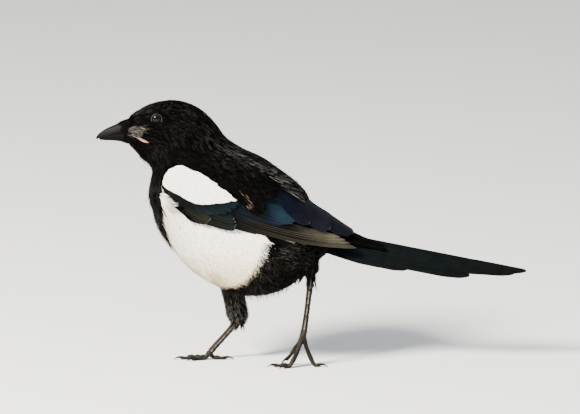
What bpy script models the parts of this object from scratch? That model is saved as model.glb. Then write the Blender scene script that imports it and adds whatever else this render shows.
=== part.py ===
"""A Eurasian magpie walking over level ground, life size, parted into named solids.

The bird faces -X with its left side towards -Y, and its feet rest on Z = 0. The origin is under
the middle of the whole length. Sizes below are in millimetres, and meshes are made in metres.
"""

import math

import bmesh
import bpy
import numpy as np
from mathutils import Vector

MM = 0.001
GAP = 0.3  # kept between solids that touch
SIDES = {"left": -1.0, "right": 1.0}

# Head, neck, torso and rump are one smooth form, given by slanted sections from bill to tail.
# Each row: the ridge point x, z of the section, its lowest point x, z, and its half width.
BODY_SECTIONS = (
    (-175.0, 236.7, -175.7, 213.0, 6.5),
    (-170.1, 241.1, -171.0, 208.9, 9.5),
    (-162.4, 246.0, -165.8, 203.5, 12.5),
    (-153.9, 250.2, -160.5, 197.5, 15.0),
    (-142.5, 253.2, -155.3, 193.7, 16.8),
    (-129.2, 254.0, -151.7, 188.9, 18.5),
    (-114.9, 250.3, -151.5, 182.6, 21.5),
    (-102.6, 242.8, -152.9, 174.9, 25.5),
    (-92.2, 232.2, -154.1, 166.7, 30.5),
    (-81.7, 218.2, -153.4, 156.5, 34.5),
    (-65.5, 207.2, -150.1, 144.5, 37.0),
    (-47.5, 198.8, -143.4, 127.6, 38.0),
    (-30.4, 187.1, -133.0, 112.2, 38.0),
    (-15.8, 178.4, -118.8, 94.4, 37.5),
    (-5.6, 168.0, -100.7, 80.9, 36.5),
    (-0.9, 155.0, -77.9, 70.8, 34.5),
    (5.7, 147.0, -51.3, 67.4, 31.0),
    (12.3, 140.0, -27.5, 73.6, 25.0),
    (19.9, 134.0, -7.6, 87.0, 18.5),
)
# For each part: its first and last section, and how many rings it takes.
BODY_PARTS = {
    "head": (0.0, 6.0, 15),
    "neck": (6.0, 9.0, 6),
    "torso": (9.0, 16.0, 15),
    "rump": (16.0, 18.0, 5),
}
BODY_FACETS = 24

# The bill. Each row: x, the height of its ridge, the height of its edge along the mouth, half width.
BILL_ROOT = -172.0  # inside the head
UPPER_BILL = (
    (BILL_ROOT, 236.9, 226.4, 6.8),
    (-181.8, 233.2, 224.7, 5.5),
    (-186.7, 230.8, 223.3, 4.8),
    (-191.5, 228.7, 221.7, 4.0),
    (-196.4, 226.3, 220.0, 3.1),
    (-201.2, 222.9, 218.1, 2.0),
    (-203.7, 220.4, 217.2, 1.1),
    (-204.8, 218.2, 216.8, 0.4),
)
LOWER_BILL = (
    (BILL_ROOT, 212.2, 226.1, 6.3),
    (-181.8, 214.6, 224.4, 5.0),
    (-186.7, 215.2, 223.0, 4.3),
    (-191.5, 215.5, 221.4, 3.5),
    (-196.4, 215.7, 219.7, 2.6),
    (-201.6, 216.2, 217.6, 0.9),
)
BILL_FACETS = 11
BILL_SHARP = 0.3  # how much the sides of the bill draw in below its ridge

# The nostrils lie under four bristly locks on each side. Each: its turn from the culmen, and its reach.
BRISTLES = ((12.0, 13.0), (34.0, 16.0), (56.0, 17.0), (78.0, 15.0))
BRISTLE_ROOT = -169.0
BRISTLE_TURN = 14.0  # half the turn that a lock spans
# The line of the mouth behind the bill, along the side of the head: x, z.
MOUTH_LINE = ((-177.0, 224.4), (-170.5, 221.8), (-163.6, 217.8), (-157.0, 214.4))
MOUTH_DEPTH = 0.5

EYE_PLACE = (-147.9, 238.8)
EYE_RADIUS = 5.6
EYE_SUNK = 4.6  # centre of the eyeball below the skin
LID_RADIUS = 5.0
LID_THICKNESS = 0.8
LID_SUNK = 0.2
LID_TURN = math.radians(8)

# The folded wing lies on an oval tunnel around the body. Its own frame starts at the bend of the
# wing, runs along the wing to its tip, and rises square to that.
WING_BEND = (-138.7, 174.2)
WING_SLOPE = math.radians(-17.3)
# Each row: distance along the wing, height of the tunnel's ridge, of its widest place, half width there.
WING_TUNNEL = (
    (-6.0, 58.0, 0.0, 33.5),
    (10.0, 59.5, 0.0, 38.5),
    (30.0, 60.0, 0.0, 41.5),
    (60.0, 54.5, -2.0, 43.2),
    (90.0, 48.0, -4.0, 42.4),
    (115.0, 37.0, -6.0, 39.0),
    (137.0, 24.0, -7.5, 34.5),
    (157.0, 18.5, -7.5, 29.0),
    (171.0, 14.0, -6.0, 25.0),
    (194.0, 7.5, -3.0, 20.0),
)
# The arm under its coverts. Each row: distance along the wing, lower edge, upper edge.
ARM_OUTLINE = (
    (-2.0, -1.0, 8.0),
    (4.0, -7.5, 24.0),
    (15.0, -13.4, 31.0),
    (32.0, -22.6, 34.0),
    (50.0, -20.6, 36.0),
    (76.0, -16.8, 39.0),
)
ARM_LENGTH = 68.0  # along its lower edge
ARM_SLANT = 26.0  # how much further its upper edge reaches back
ARM_DEPTH = 11.0
ARM_RINGS = 10
ARM_ROWS = 6

# Flight feathers and coverts, from the innermost layer to the outermost. Each row: how many, the
# root of the first and of the last, the tip of the first and of the last, their width, their lift
# off the tunnel at the root and past it, the rise from one to the next, and how much a feather
# leans so that its lower edge stands over the next. Places are along and up the wing.
WING_FEATHERS = (
    ("primary", 6, (52, -13), (58, 1), (166, -4.4), (168, 5.0), 10.0, -6.2, -6.2, 0.55, 0.9),
    ("secondary", 4, (56, 2), (62, 16), (120, -1.5), (133, 6.5), 10.5, -3.4, -3.4, 0.4, 0.9),
    ("tertial", 3, (82, 29), (76, 24), (182, 8.0), (141, 7.0), 19.0, -0.7, -0.7, 0.95, 0.0),
    ("primary_covert", 3, (24, -14), (30, -7), (70, -14), (74, -7), 9.0, -4.2, -1.6, 0.3, 0.6),
    ("greater_covert", 4, (22, -4), (52, 20), (56, -6), (92, 13), 14.0, -2.8, -0.2, 0.35, 0.6),
    ("alula", 2, (9, -6), (12, -2), (47, -15), (50, -12), 8.0, -3.0, 0.0, 0.7, 0.6),
    ("white_scapular", 4, (0, 9), (24, 27), (26, 0), (64, 12), 18.0, -2.6, 1.8, 0.1, 0.7),
    ("black_scapular", 4, (46, 34), (76, 40), (84, 7), (104, 21), 15.0, -2.0, 2.6, 0.1, 0.7),
)
PRIMARY_REACH = (0.0, 17.0, 24.0, 22.0, 13.0, 2.0)  # how much longer than the first each one is
FEATHER_THICKNESS = 0.55
# Each row: the share of a feather's length, and its width there as a share of the greatest.
LONG_VANE = ((0.0, 0.5), (0.3, 0.85), (0.62, 1.0), (0.84, 0.86), (0.95, 0.52), (1.0, 0.14))
SHORT_VANE = ((0.0, 0.6), (0.45, 1.0), (0.8, 0.84), (0.95, 0.45), (1.0, 0.15))
LONG_FEATHERS = ("primary", "secondary", "tertial")

TAIL_ROOT = (-10.0, 133.6)
TAIL_SLOPE = math.radians(-11.3)
TAIL_PITCH = math.radians(46.0)  # how steeply each half falls away from the ridge
TAIL_ROLL = math.radians(10.0)  # the tail is turned a little towards its left
# From the middle feather outwards. Each row: length, then how far the quill lies from the ridge
# at the root, half way along and at the tip, and half the vane's width.
TAIL_FEATHERS = (
    (218.0, 5.0, 8.4, 2.2, 8.0),
    (205.0, 6.5, 11.0, 5.5, 8.4),
    (186.0, 8.0, 13.6, 9.0, 8.6),
    (158.0, 9.5, 15.6, 13.5, 8.6),
    (120.0, 11.0, 16.6, 17.5, 8.4),
    (90.0, 12.5, 17.0, 19.0, 7.8),
)
TAIL_LAYER = 0.95
TAIL_BLOCK = ((8.0, 13.0), (50.0, 20.0))  # along, half width
# The undertail coverts, as a limb: x, y, z of its middle, then its half depth and half width.
UNDERTAIL = (
    (-2.0, 0.0, 113.0, 11.0, 8.5),
    (22.0, 0.0, 109.0, 8.5, 8.0),
    (44.0, 0.0, 106.5, 5.5, 6.0),
    (64.0, 0.0, 104.5, 1.6, 2.6),
)

# Legs: x, y, z of the middle of the limb, then its half depth and half width.
THIGH_LEFT = (
    (-60.0, -11.0, 126.0, 25.0, 15.0),
    (-43.0, -16.5, 116.0, 24.0, 15.5),
    (-26.0, -19.8, 106.0, 19.0, 14.0),
    (-13.5, -19.8, 98.5, 13.0, 10.5),
    (-5.5, -19.0, 92.0, 7.6, 7.4),
    (-2.3, -18.5, 87.5, 4.9, 5.2),
    (-1.5, -18.0, 83.0, 3.4, 3.6),
)
THIGH_RIGHT = (
    (-71.0, 20.0, 92.0, 16.0, 12.0),
    (-75.0, 19.5, 80.0, 14.5, 11.0),
    (-75.5, 19.0, 70.0, 12.4, 9.6),
    (-73.6, 18.5, 55.0, 10.4, 8.4),
    (-71.2, 18.0, 44.0, 7.4, 6.8),
    (-69.8, 18.0, 35.0, 4.6, 4.6),
)
TARSUS_LEFT = (
    (-1.0, -18.0, 87.0, 3.0, 3.2),
    (-1.7, -18.0, 81.0, 3.0, 3.2),
    (-2.4, -18.0, 75.0, 2.4, 2.2),
    (-4.0, -18.0, 62.0, 2.3, 1.9),
    (-5.5, -18.0, 50.0, 2.4, 1.9),
    (-7.2, -18.0, 38.0, 2.6, 2.3),
    (-8.0, -18.0, 33.5, 2.6, 2.6),
)
TARSUS_RIGHT = (
    (-67.0, 18.0, 42.0, 3.0, 3.2),
    (-72.5, 18.0, 36.5, 3.0, 3.0),
    (-78.0, 18.0, 29.6, 2.4, 2.1),
    (-85.0, 18.0, 21.6, 2.3, 1.9),
    (-92.0, 18.0, 13.8, 2.5, 2.1),
    (-96.0, 18.0, 9.6, 2.7, 2.5),
)
SHANK_FACETS = 10
SHANK_SCUTES = 7
SCUTE_STEP = 0.28
SCUTE_EDGE = 0.016

BLACK = (0.012, 0.012, 0.014)
GLOSS_BLUE = (0.012, 0.03, 0.06)
HORN = (0.02, 0.019, 0.02)
EYE_BROWN = (0.03, 0.016, 0.01)
FINISHES = {
    "plumage": (BLACK, 0.6),
    "wing": (GLOSS_BLUE, 0.35),
    "horn": (HORN, 0.3),
    "eye": (EYE_BROWN, 0.05),
    "scale": (HORN, 0.45),
}


# Scene and mesh helpers


def empty_the_scene():
    for thing in list(bpy.data.objects):
        bpy.data.objects.remove(thing, do_unlink=True)


def collection(name):
    made = bpy.data.collections.new(name)
    bpy.context.scene.collection.children.link(made)
    return made


def curve(table, place):
    """A smooth curve through a table whose first column is the place along it."""
    table = np.asarray(table, float)
    places, values = table[:, 0], table[:, 1:]
    slopes = np.gradient(values, places, axis=0)
    place = np.clip(np.asarray(place, float), places[0], places[-1])
    row = np.clip(np.searchsorted(places, place, side="right") - 1, 0, len(places) - 2)
    step = (places[row + 1] - places[row])[..., None]
    t = (place - places[row])[..., None] / step
    return (
        (1 + 2 * t) * (1 - t) ** 2 * values[row]
        + t * (1 - t) ** 2 * step * slopes[row]
        + t * t * (3 - 2 * t) * values[row + 1]
        + t * t * (t - 1) * step * slopes[row + 1]
    )


def closed_mesh(points, faces):
    """A mesh object from points in millimetres, its faces turned outwards."""
    mesh = bpy.data.meshes.new("piece")
    mesh.from_pydata((points * MM).tolist(), [], faces)
    shell = bmesh.new()
    shell.from_mesh(mesh)
    bmesh.ops.recalc_face_normals(shell, faces=shell.faces)
    shell.to_mesh(mesh)
    shell.free()
    piece = bpy.data.objects.new("piece", mesh)
    workshop.objects.link(piece)
    return piece


def solid(rings):
    """A closed mesh object through rings of equal count, with a flat cap at each end."""
    rings = np.asarray(rings, float)
    count, around = rings.shape[:2]
    faces = []
    for i in range(count - 1):
        for j in range(around):
            k = (j + 1) % around
            faces.append((i * around + j, i * around + k, (i + 1) * around + k, (i + 1) * around + j))
    faces.append(tuple(range(around))[::-1])
    faces.append(tuple(range((count - 1) * around, count * around)))
    return closed_mesh(rings.reshape(-1, 3), faces)


def ball(centre, radii, segments=14, rings=9):
    """A closed oval ball."""
    mesh = bpy.data.meshes.new("ball")
    shell = bmesh.new()
    bmesh.ops.create_uvsphere(shell, u_segments=segments, v_segments=rings, radius=1.0)
    for vertex in shell.verts:
        vertex.co = Vector([(c + r * v) * MM for c, r, v in zip(centre, radii, vertex.co)])
    shell.to_mesh(mesh)
    shell.free()
    piece = bpy.data.objects.new("ball", mesh)
    workshop.objects.link(piece)
    return piece


def applied(piece):
    """Bakes the piece's modifiers into its mesh."""
    shape = bpy.data.meshes.new_from_object(piece.evaluated_get(bpy.context.evaluated_depsgraph_get()))
    piece.modifiers.clear()
    piece.data = shape
    return piece


def joined(first, others):
    """One Boolean union of closed pieces, of which the largest closed surface is kept."""
    if not others:
        return first
    group = bpy.data.collections.new("joining")
    bpy.context.scene.collection.children.link(group)
    for other in others:
        group.objects.link(other)
    union = first.modifiers.new("union", "BOOLEAN")
    union.operation = "UNION"
    union.operand_type = "COLLECTION"
    union.collection = group
    union.solver = "EXACT"
    bpy.context.view_layer.update()
    applied(first)
    for other in others:
        bpy.data.objects.remove(other, do_unlink=True)
    bpy.data.collections.remove(group)
    return largest(first)


def cut(piece, *cutters):
    """Takes the cutters out of the piece and keeps its largest closed surface."""
    for cutter in cutters:
        bite = piece.modifiers.new("cut", "BOOLEAN")
        bite.operation = "DIFFERENCE"
        bite.object = cutter
        bite.solver = "EXACT"
    bpy.context.view_layer.update()
    return largest(applied(piece))


def largest(piece):
    """Drops every closed surface of the piece but the one that holds most."""
    shell = bmesh.new()
    shell.from_mesh(piece.data)
    bmesh.ops.triangulate(shell, faces=shell.faces)
    left = set(shell.faces)
    islands = []
    while left:
        island = {left.pop()}
        edge_on = list(island)
        while edge_on:
            for edge in edge_on.pop().edges:
                for face in edge.link_faces:
                    if face in left:
                        left.discard(face)
                        island.add(face)
                        edge_on.append(face)
        islands.append(island)

    def held(island):
        corners = [[vertex.co for vertex in face.verts] for face in island]
        return sum(a.dot(b.cross(c)) for a, b, c in corners)

    kept = max(islands, key=held)
    dropped = [face for face in shell.faces if face not in kept]
    bmesh.ops.delete(shell, geom=dropped, context="FACES")
    shell.to_mesh(piece.data)
    shell.free()
    return piece


def finished(piece, name, finish):
    """Gives a node its name, its own material and its place among the bird's parts."""
    colour, roughness = FINISHES[finish]
    material = bpy.data.materials.new(name)
    material.use_nodes = True
    shader = material.node_tree.nodes["Principled BSDF"]
    shader.inputs["Base Color"].default_value = (*colour, 1.0)
    shader.inputs["Roughness"].default_value = roughness
    piece.data.materials.clear()
    piece.data.materials.append(material)
    piece.data.shade_smooth()
    piece.data.set_sharp_from_angle(angle=math.radians(35))
    piece.name = name
    piece.data.name = name
    workshop.objects.unlink(piece)
    bird.objects.link(piece)
    return piece


# Body


def body_ring(place, swell=0.0, shift=0.0, facets=BODY_FACETS):
    """One section of the body, swollen outwards and shifted along the body, as points in order."""
    rows = np.column_stack([np.arange(len(BODY_SECTIONS)), BODY_SECTIONS])
    top_x, top_z, low_x, low_z, half_width = curve(rows, place)
    middle = np.array([(top_x + low_x) / 2, 0.0, (top_z + low_z) / 2])
    rise = np.array([(top_x - low_x) / 2, 0.0, (top_z - low_z) / 2])
    height = np.linalg.norm(rise)
    rise = rise / height
    onward = np.cross((0.0, 1.0, 0.0), rise)
    turn = np.linspace(0, 2 * math.pi, facets, endpoint=False)[:, None]
    return (
        middle
        + shift * onward
        + (height + swell) * np.cos(turn) * rise
        + (half_width + swell) * np.sin(turn) * np.array([0.0, 1.0, 0.0])
    )


def body_solid(first, last, count, swell=0.0, gap=GAP / 2):
    places = np.linspace(first, last, count)
    shifts = np.zeros(count)
    shifts[0], shifts[-1] = gap, -gap
    return solid([body_ring(p, swell, s) for p, s in zip(places, shifts)])


def body_clearance():
    """The whole body, grown by the gap: what lies on the body is cut clear of it."""
    last = len(BODY_SECTIONS) - 1
    return body_solid(0.0, last, 40, swell=GAP, gap=-GAP / 2)


def skin_point(x, z, side):
    """The point of the body's side straight across from x, z, found along its sections."""
    rows = np.column_stack([np.arange(len(BODY_SECTIONS)), BODY_SECTIONS])
    places = np.linspace(0, len(BODY_SECTIONS) - 1, 1200)
    top_x, top_z, low_x, low_z, half_width = curve(rows, places).T
    rise_x, rise_z = (top_x - low_x) / 2, (top_z - low_z) / 2
    off_x, off_z = x - (top_x + low_x) / 2, z - (top_z + low_z) / 2
    square = rise_x**2 + rise_z**2
    beside = np.abs(off_x * rise_z - off_z * rise_x) / np.sqrt(square)
    along = (off_x * rise_x + off_z * rise_z) / square
    beside[np.abs(along) > 1] += 1000.0
    best = int(np.argmin(beside))
    across = half_width[best] * math.sqrt(max(0.0, 1 - min(1.0, abs(along[best])) ** 2))
    return np.array([x, side * across, z])


# Bill


def bill_point(table, x, turn, lift):
    """A point of one half of the bill: at x, turned in degrees from its ridge, and lifted off it."""
    ridge, edge, half_width = curve(table, x)
    level, across = math.cos(math.radians(turn)), math.sin(math.radians(turn))
    width = half_width * (1 - BILL_SHARP * level * abs(across)) + lift
    return (x, width * across, edge + (ridge - edge + math.copysign(lift, ridge - edge)) * level)


def bill_solid(rows, swell=0.0, start=BILL_ROOT):
    """One half of the bill from start to its tip, flat along the mouth, or the room it needs."""
    table = sorted(rows)
    rings = []
    for x in np.linspace(start, table[0][0], 12):
        ring = [bill_point(table, x, turn, swell) for turn in np.linspace(-90, 90, BILL_FACETS)]
        edge = ring[0][2] - math.copysign(swell, ring[BILL_FACETS // 2][2] - ring[0][2])
        if swell:
            ring += [(x, ring[-1][1], edge), (x, ring[0][1], edge)]
        rings.append(ring)
    return solid(rings)


def bristles():
    """The flat bristly locks that lie forward over the nostrils, clear of the bill."""
    table = sorted(UPPER_BILL)
    shares = np.array([row[0] for row in SHORT_VANE])
    locks = []
    for side in SIDES.values():
        for turn, reach in BRISTLES:

            def place(spot, lean, height):
                lift = 0.9 + 0.35 * eased((spot[0] + 181.0) / 8.0) + height
                return bill_point(table, spot[0], side * spot[1], lift - 0.2 * lean)

            middles = np.column_stack([BRISTLE_ROOT - reach * shares, np.full(len(shares), turn)])
            across = [np.array([0.0, BRISTLE_TURN])] * len(shares)
            locks.append(vane(middles, across, place, 2, SHORT_VANE))
    return locks


def mouth_cutter(side):
    """A groove along the side of the head, where the bill's edges run on to the corner of the mouth."""
    rows = []
    for x, z in MOUTH_LINE:
        point = skin_point(max(x, BODY_SECTIONS[0][0] + 0.5), z, side)
        rows.append((x, point[1], z, MOUTH_DEPTH * 0.7, MOUTH_DEPTH * 1.6))
    return limb(rows, 7, facets=6)


# Wing


def wing_point(side, along, height, lift):
    """A point of the wing's tunnel: along the wing, up it, and lifted off the tunnel."""
    ridge, widest, half_width = np.moveaxis(curve(WING_TUNNEL, along), -1, 0)
    height = np.minimum(height, ridge)
    sine = np.clip((height - widest) / (ridge - widest), -0.95, 0.995)
    cosine = np.sqrt(1 - sine * sine)
    up = height + lift * sine
    out = (half_width + lift) * cosine
    x = WING_BEND[0] + along * math.cos(WING_SLOPE) - up * math.sin(WING_SLOPE)
    z = WING_BEND[1] + along * math.sin(WING_SLOPE) + up * math.cos(WING_SLOPE)
    return np.stack(np.broadcast_arrays(x, side * out, z), axis=-1)


def eased(share):
    """Rises smoothly from 0 to 1."""
    share = np.clip(share, 0.0, 1.0)
    return share * share * (3 - 2 * share)


def arm_solid(side):
    """The arm and the bases of its feathers, low in front and over the primaries, and bent to the tunnel."""
    rings = []
    for share in np.linspace(0.0, 1.0, ARM_RINGS):
        base = ARM_OUTLINE[0][0] + (ARM_LENGTH - ARM_OUTLINE[0][0]) * share
        low, high = curve(ARM_OUTLINE, base)
        heights = np.linspace(low, high, ARM_ROWS)
        along = base + ARM_SLANT * share**2 * eased((heights - low) / (high - low))
        lift = -2.7 + 1.5 * eased((heights + 6.0) / 9.0)
        lift += 3.0 * eased((along - 58.0) / 18.0) * eased(heights / 15.0)
        lift -= 4.5 * (1 - eased(share / 0.16))
        outer = wing_point(side, along, heights, lift)
        inner = wing_point(side, along, heights, -ARM_DEPTH)
        rings.append(np.concatenate([outer, inner[::-1]]))
    return solid(rings)


def vane(middles, acrosses, place, columns, shape, thickness=FEATHER_THICKNESS):
    """A thin feather. Its middles and half-width steps lie on a surface that place turns into points.

    place takes two coordinates on the surface and a lean from -1 at one edge to 1 at the other,
    and a height over the feather's own layer. Both faces are split into the same triangles.
    """
    leans = np.linspace(-1.0, 1.0, columns)
    upper, lower = [], []
    for middle, across, (_, share) in zip(middles, acrosses, shape):
        for lean in leans:
            spot = middle + across * lean * share
            upper.append(place(spot, lean, thickness / 2))
            lower.append(place(spot, lean, -thickness / 2))
    count, rows = len(upper), len(shape)
    faces = []
    for i in range(rows - 1):
        for j in range(columns - 1):
            a, b = i * columns + j, i * columns + j + 1
            c, d = b + columns, a + columns
            faces += [(a, b, c), (a, c, d)]
            faces += [(count + a, count + c, count + b), (count + a, count + d, count + c)]
    rim = list(range(columns))
    rim += [i * columns + columns - 1 for i in range(1, rows)]
    rim += [(rows - 1) * columns + j for j in range(columns - 2, -1, -1)]
    rim += [i * columns for i in range(rows - 2, 0, -1)]
    for here, there in zip(rim, rim[1:] + rim[:1]):
        faces += [(here, count + here, there), (there, count + here, count + there)]
    return closed_mesh(np.array(upper + lower), faces)


def wing_feather(side, root, tip, width, root_lift, lift, lean_lift, columns, shape):
    """One feather of the wing from its root to its tip, sunk at the root, on the wing's tunnel."""
    root, tip = np.asarray(root, float), np.asarray(tip, float)
    onward = (tip - root) / np.linalg.norm(tip - root)
    square = np.array([-onward[1], onward[0]])
    shares = np.array([row[0] for row in shape])
    middles = root + (tip - root) * shares[:, None]
    lifts = root_lift + (lift - root_lift) * eased(shares / 0.4)

    def place(spot, lean, height):
        share = float(np.dot(spot - root, tip - root) / np.dot(tip - root, tip - root))
        own = float(np.interp(share, shares, lifts))
        return wing_point(side, spot[0], spot[1], own - lean * lean_lift + height)

    return vane(middles, [square * width / 2] * len(middles), place, columns, shape)


def wing_feathers(side):
    feathers = []
    for kind, count, root_a, root_b, tip_a, tip_b, width, root_lift, lift, rise, lean in WING_FEATHERS:
        for i in range(count):
            share = i / (count - 1)
            root = np.array(root_a) * (1 - share) + np.array(root_b) * share
            tip = np.array(tip_a) * (1 - share) + np.array(tip_b) * share
            if kind == "primary":
                tip = tip + (PRIMARY_REACH[i], -0.16 * PRIMARY_REACH[i])
            columns = 3 if kind == "tertial" else 2
            shape = LONG_VANE if kind in LONG_FEATHERS else SHORT_VANE
            lifts = (root_lift + rise * i, lift + rise * i)
            feathers.append(wing_feather(side, root, tip, width, *lifts, lean, columns, shape))
    return feathers


# Tail


def tail_point(side, along, across, lift):
    """A point of one half of the tail: along its ridge, down from the ridge, and lifted off it."""
    pitch = TAIL_PITCH - side * TAIL_ROLL
    out = np.array([0.0, side * math.cos(pitch), -math.sin(pitch)])
    up = np.array([0.0, side * math.sin(pitch), math.cos(pitch)])
    start = np.array([TAIL_ROOT[0], 0.0, TAIL_ROOT[1]])
    onward = np.array([math.cos(TAIL_SLOPE), 0.0, math.sin(TAIL_SLOPE)])
    return start + along * onward + across * out + lift * up


def tail_block():
    """The roof-shaped root of the tail, which holds every quill."""
    deep = TAIL_LAYER * len(TAIL_FEATHERS) + 0.4
    rings = []
    for along, half in TAIL_BLOCK:
        ridge = tail_point(1, along, 0.0, 0.0)
        rings.append(
            [
                tail_point(-1, along, half, 0.6),
                ridge + (0.0, 0.0, 0.9),
                tail_point(1, along, half, 0.6),
                tail_point(1, along, half, -deep),
                ridge - (0.0, 0.0, deep * 1.6),
                tail_point(-1, along, half, -deep),
            ]
        )
    return solid(rings)


def tail_feathers():
    feathers = []
    shares = np.array([row[0] for row in LONG_VANE])
    for side in SIDES.values():
        for layer, (length, root, middle, tip, half) in enumerate(TAIL_FEATHERS):
            quill = curve(((0.0, root), (0.5, middle), (1.0, tip)), shares)[:, 0]
            middles = np.column_stack([shares * length, quill])
            pitch = TAIL_PITCH - side * TAIL_ROLL
            inmost = TAIL_LAYER * layer * math.tan(pitch) + 0.5

            def place(spot, lean, height):
                across = max(spot[1], inmost)
                return tail_point(side, spot[0], across, height - TAIL_LAYER * layer)

            feathers.append(vane(middles, [np.array([0.0, half])] * len(shares), place, 2, LONG_VANE))
    return feathers


# Legs and feet


def limb_rings(rows, count, swell=0.0, facets=SHANK_FACETS, scutes=0):
    """Oval sections square to a limb that runs through the rows, or with scutes, stepped like tiles."""
    rows = np.asarray(rows, float)
    table = np.column_stack([np.arange(len(rows)), rows])
    places = np.linspace(0, 1, count)
    step = np.zeros(count)
    if scutes:
        edges = np.linspace(0.04, 0.96, scutes + 1)
        places = np.sort(np.concatenate([[0.0, 1.0], edges, edges + SCUTE_EDGE]))
        step = np.where(np.isin(places, edges), SCUTE_STEP, 0.0)
    values = curve(table, places * (len(rows) - 1))
    depths, widths = values[:, 3] + swell + step, values[:, 4] + swell + step * 0.5
    middles = values[:, :3]
    onward = np.gradient(middles, places, axis=0)
    onward /= np.linalg.norm(onward, axis=1)[:, None]
    sideways = np.array([0.0, 1.0, 0.0])
    middles[0] -= onward[0] * swell
    middles[-1] += onward[-1] * swell
    ahead = np.cross(onward, sideways)
    ahead /= np.linalg.norm(ahead, axis=1)[:, None]
    across = np.cross(ahead, onward)
    turn = np.linspace(0, 2 * math.pi, facets, endpoint=False)
    return (
        middles[:, None]
        + depths[:, None, None] * np.cos(turn)[None, :, None] * ahead[:, None]
        + widths[:, None, None] * np.sin(turn)[None, :, None] * across[:, None]
    )


def limb(rows, count, swell=0.0, facets=SHANK_FACETS, scutes=0):
    return solid(limb_rings(rows, count, swell, facets, scutes))


# Toes: for each, its path from the ball of the foot to the root of the claw, then the claw's tip.
FRONT_BALL = (-98.0, 18.0, 6.2)
REAR_BALL = (-8.6, -18.0, 30.6)
TOE_RADIUS = 2.2
TOE_FACETS = 8
PAD_FLAT = 0.25  # how far the round of a toe is flattened where it lies on the ground


def toe_path(ball_point, bearing, reach, drop):
    """Points under a toe that leaves the ball, comes down over the distance drop, and lies on the ground."""
    heading = np.array([-math.cos(bearing), math.sin(bearing)])
    points = []
    for t in np.linspace(0, 1, 7):
        run = reach * t
        height = (ball_point[2] - TOE_RADIUS) * max(0.0, 1 - run / drop) ** 1.5
        points.append((ball_point[0] + heading[0] * run, ball_point[1] + heading[1] * run, height))
    return np.array(points), heading


def toe_and_claw(path, heading, radius, claw_length, joints):
    """A toe with swollen joints and flat pads, and its curved claw a gap further on."""
    count = 3 * joints + 3
    table = np.column_stack([np.arange(len(path)), path])
    middles = curve(table, np.linspace(0, len(path) - 1, count))
    rows = []
    for i, middle in enumerate(middles):
        t = i / (count - 1)
        knuckle = 0.12 * math.cos(2 * math.pi * joints * t)
        size = radius * (1.08 - 0.3 * t) * (1 + knuckle)
        middle[2] += size - PAD_FLAT
        rows.append((*middle, size, size * 0.92))
    rings = limb_rings(rows, count, facets=TOE_FACETS)
    rings[..., 2] = np.maximum(rings[..., 2], 0.0)
    toe = solid(rings)
    toe_room = limb(rows, count, swell=GAP, facets=TOE_FACETS)
    claw_rows = []
    start = middles[-2]
    for t in np.linspace(0, 1, 7):
        arch = math.sin(math.pi * t) * claw_length * 0.17
        sink = (start[2] - 0.2) * t
        spot = start + np.array([heading[0], heading[1], 0.0]) * claw_length * t + (0, 0, arch - sink)
        claw_rows.append((*spot, radius * 0.62 * (1 - t) + 0.28, radius * 0.5 * (1 - t) + 0.28))
    claw_rings = limb_rings(claw_rows, 7, facets=7)
    claw_rings[..., 2] = np.maximum(claw_rings[..., 2], 0.0)
    return toe, cut(solid(claw_rings), toe_room)


# Build


def build_body(clearance):
    parts = {}
    for name, (first, last, count) in BODY_PARTS.items():
        parts[name] = body_solid(first, last, count)
    lids, sockets, eyes = [], [], []
    for side in SIDES.values():
        skin = skin_point(*EYE_PLACE, side)
        centre = skin - np.array([0.0, side * EYE_SUNK, 0.0])
        eyes.append(ball(centre, (EYE_RADIUS,) * 3))
        sockets.append(ball(centre, (EYE_RADIUS + GAP,) * 3))
        bpy.ops.mesh.primitive_torus_add(
            major_radius=LID_RADIUS * MM,
            minor_radius=LID_THICKNESS * MM,
            major_segments=16,
            minor_segments=5,
            location=Vector(skin - np.array([0.0, side * LID_SUNK, 0.0])) * MM,
            rotation=(math.pi / 2, 0.0, side * LID_TURN),
        )
        lid = bpy.context.object
        for owner in list(lid.users_collection):
            owner.objects.unlink(lid)
        workshop.objects.link(lid)
        lids.append(lid)
    upper_bill = cut(bill_solid(UPPER_BILL), clearance)
    lower_bill = cut(bill_solid(LOWER_BILL), clearance)
    front = BODY_SECTIONS[0][2] - 0.1
    upper_room = bill_solid(UPPER_BILL, GAP, front)
    lower_room = bill_solid(LOWER_BILL, GAP, front)
    joined(parts["head"], lids + bristles())
    cut(parts["head"], *sockets, upper_room, lower_room, *[mouth_cutter(side) for side in SIDES.values()])
    for name, part in parts.items():
        finished(part, name, "plumage")
    for side_name, eye in zip(SIDES, eyes):
        finished(eye, f"eye_{side_name}", "eye")
    finished(upper_bill, "bill_upper", "horn")
    finished(lower_bill, "bill_lower", "horn")


def build_wings(clearance):
    for side_name, side in SIDES.items():
        wing = joined(arm_solid(side), wing_feathers(side))
        finished(cut(wing, clearance), f"wing_{side_name}", "wing")


def build_tail(clearance):
    tail = joined(tail_block(), [limb(UNDERTAIL, 6, facets=10)] + tail_feathers())
    finished(cut(tail, clearance), "tail", "wing")


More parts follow.
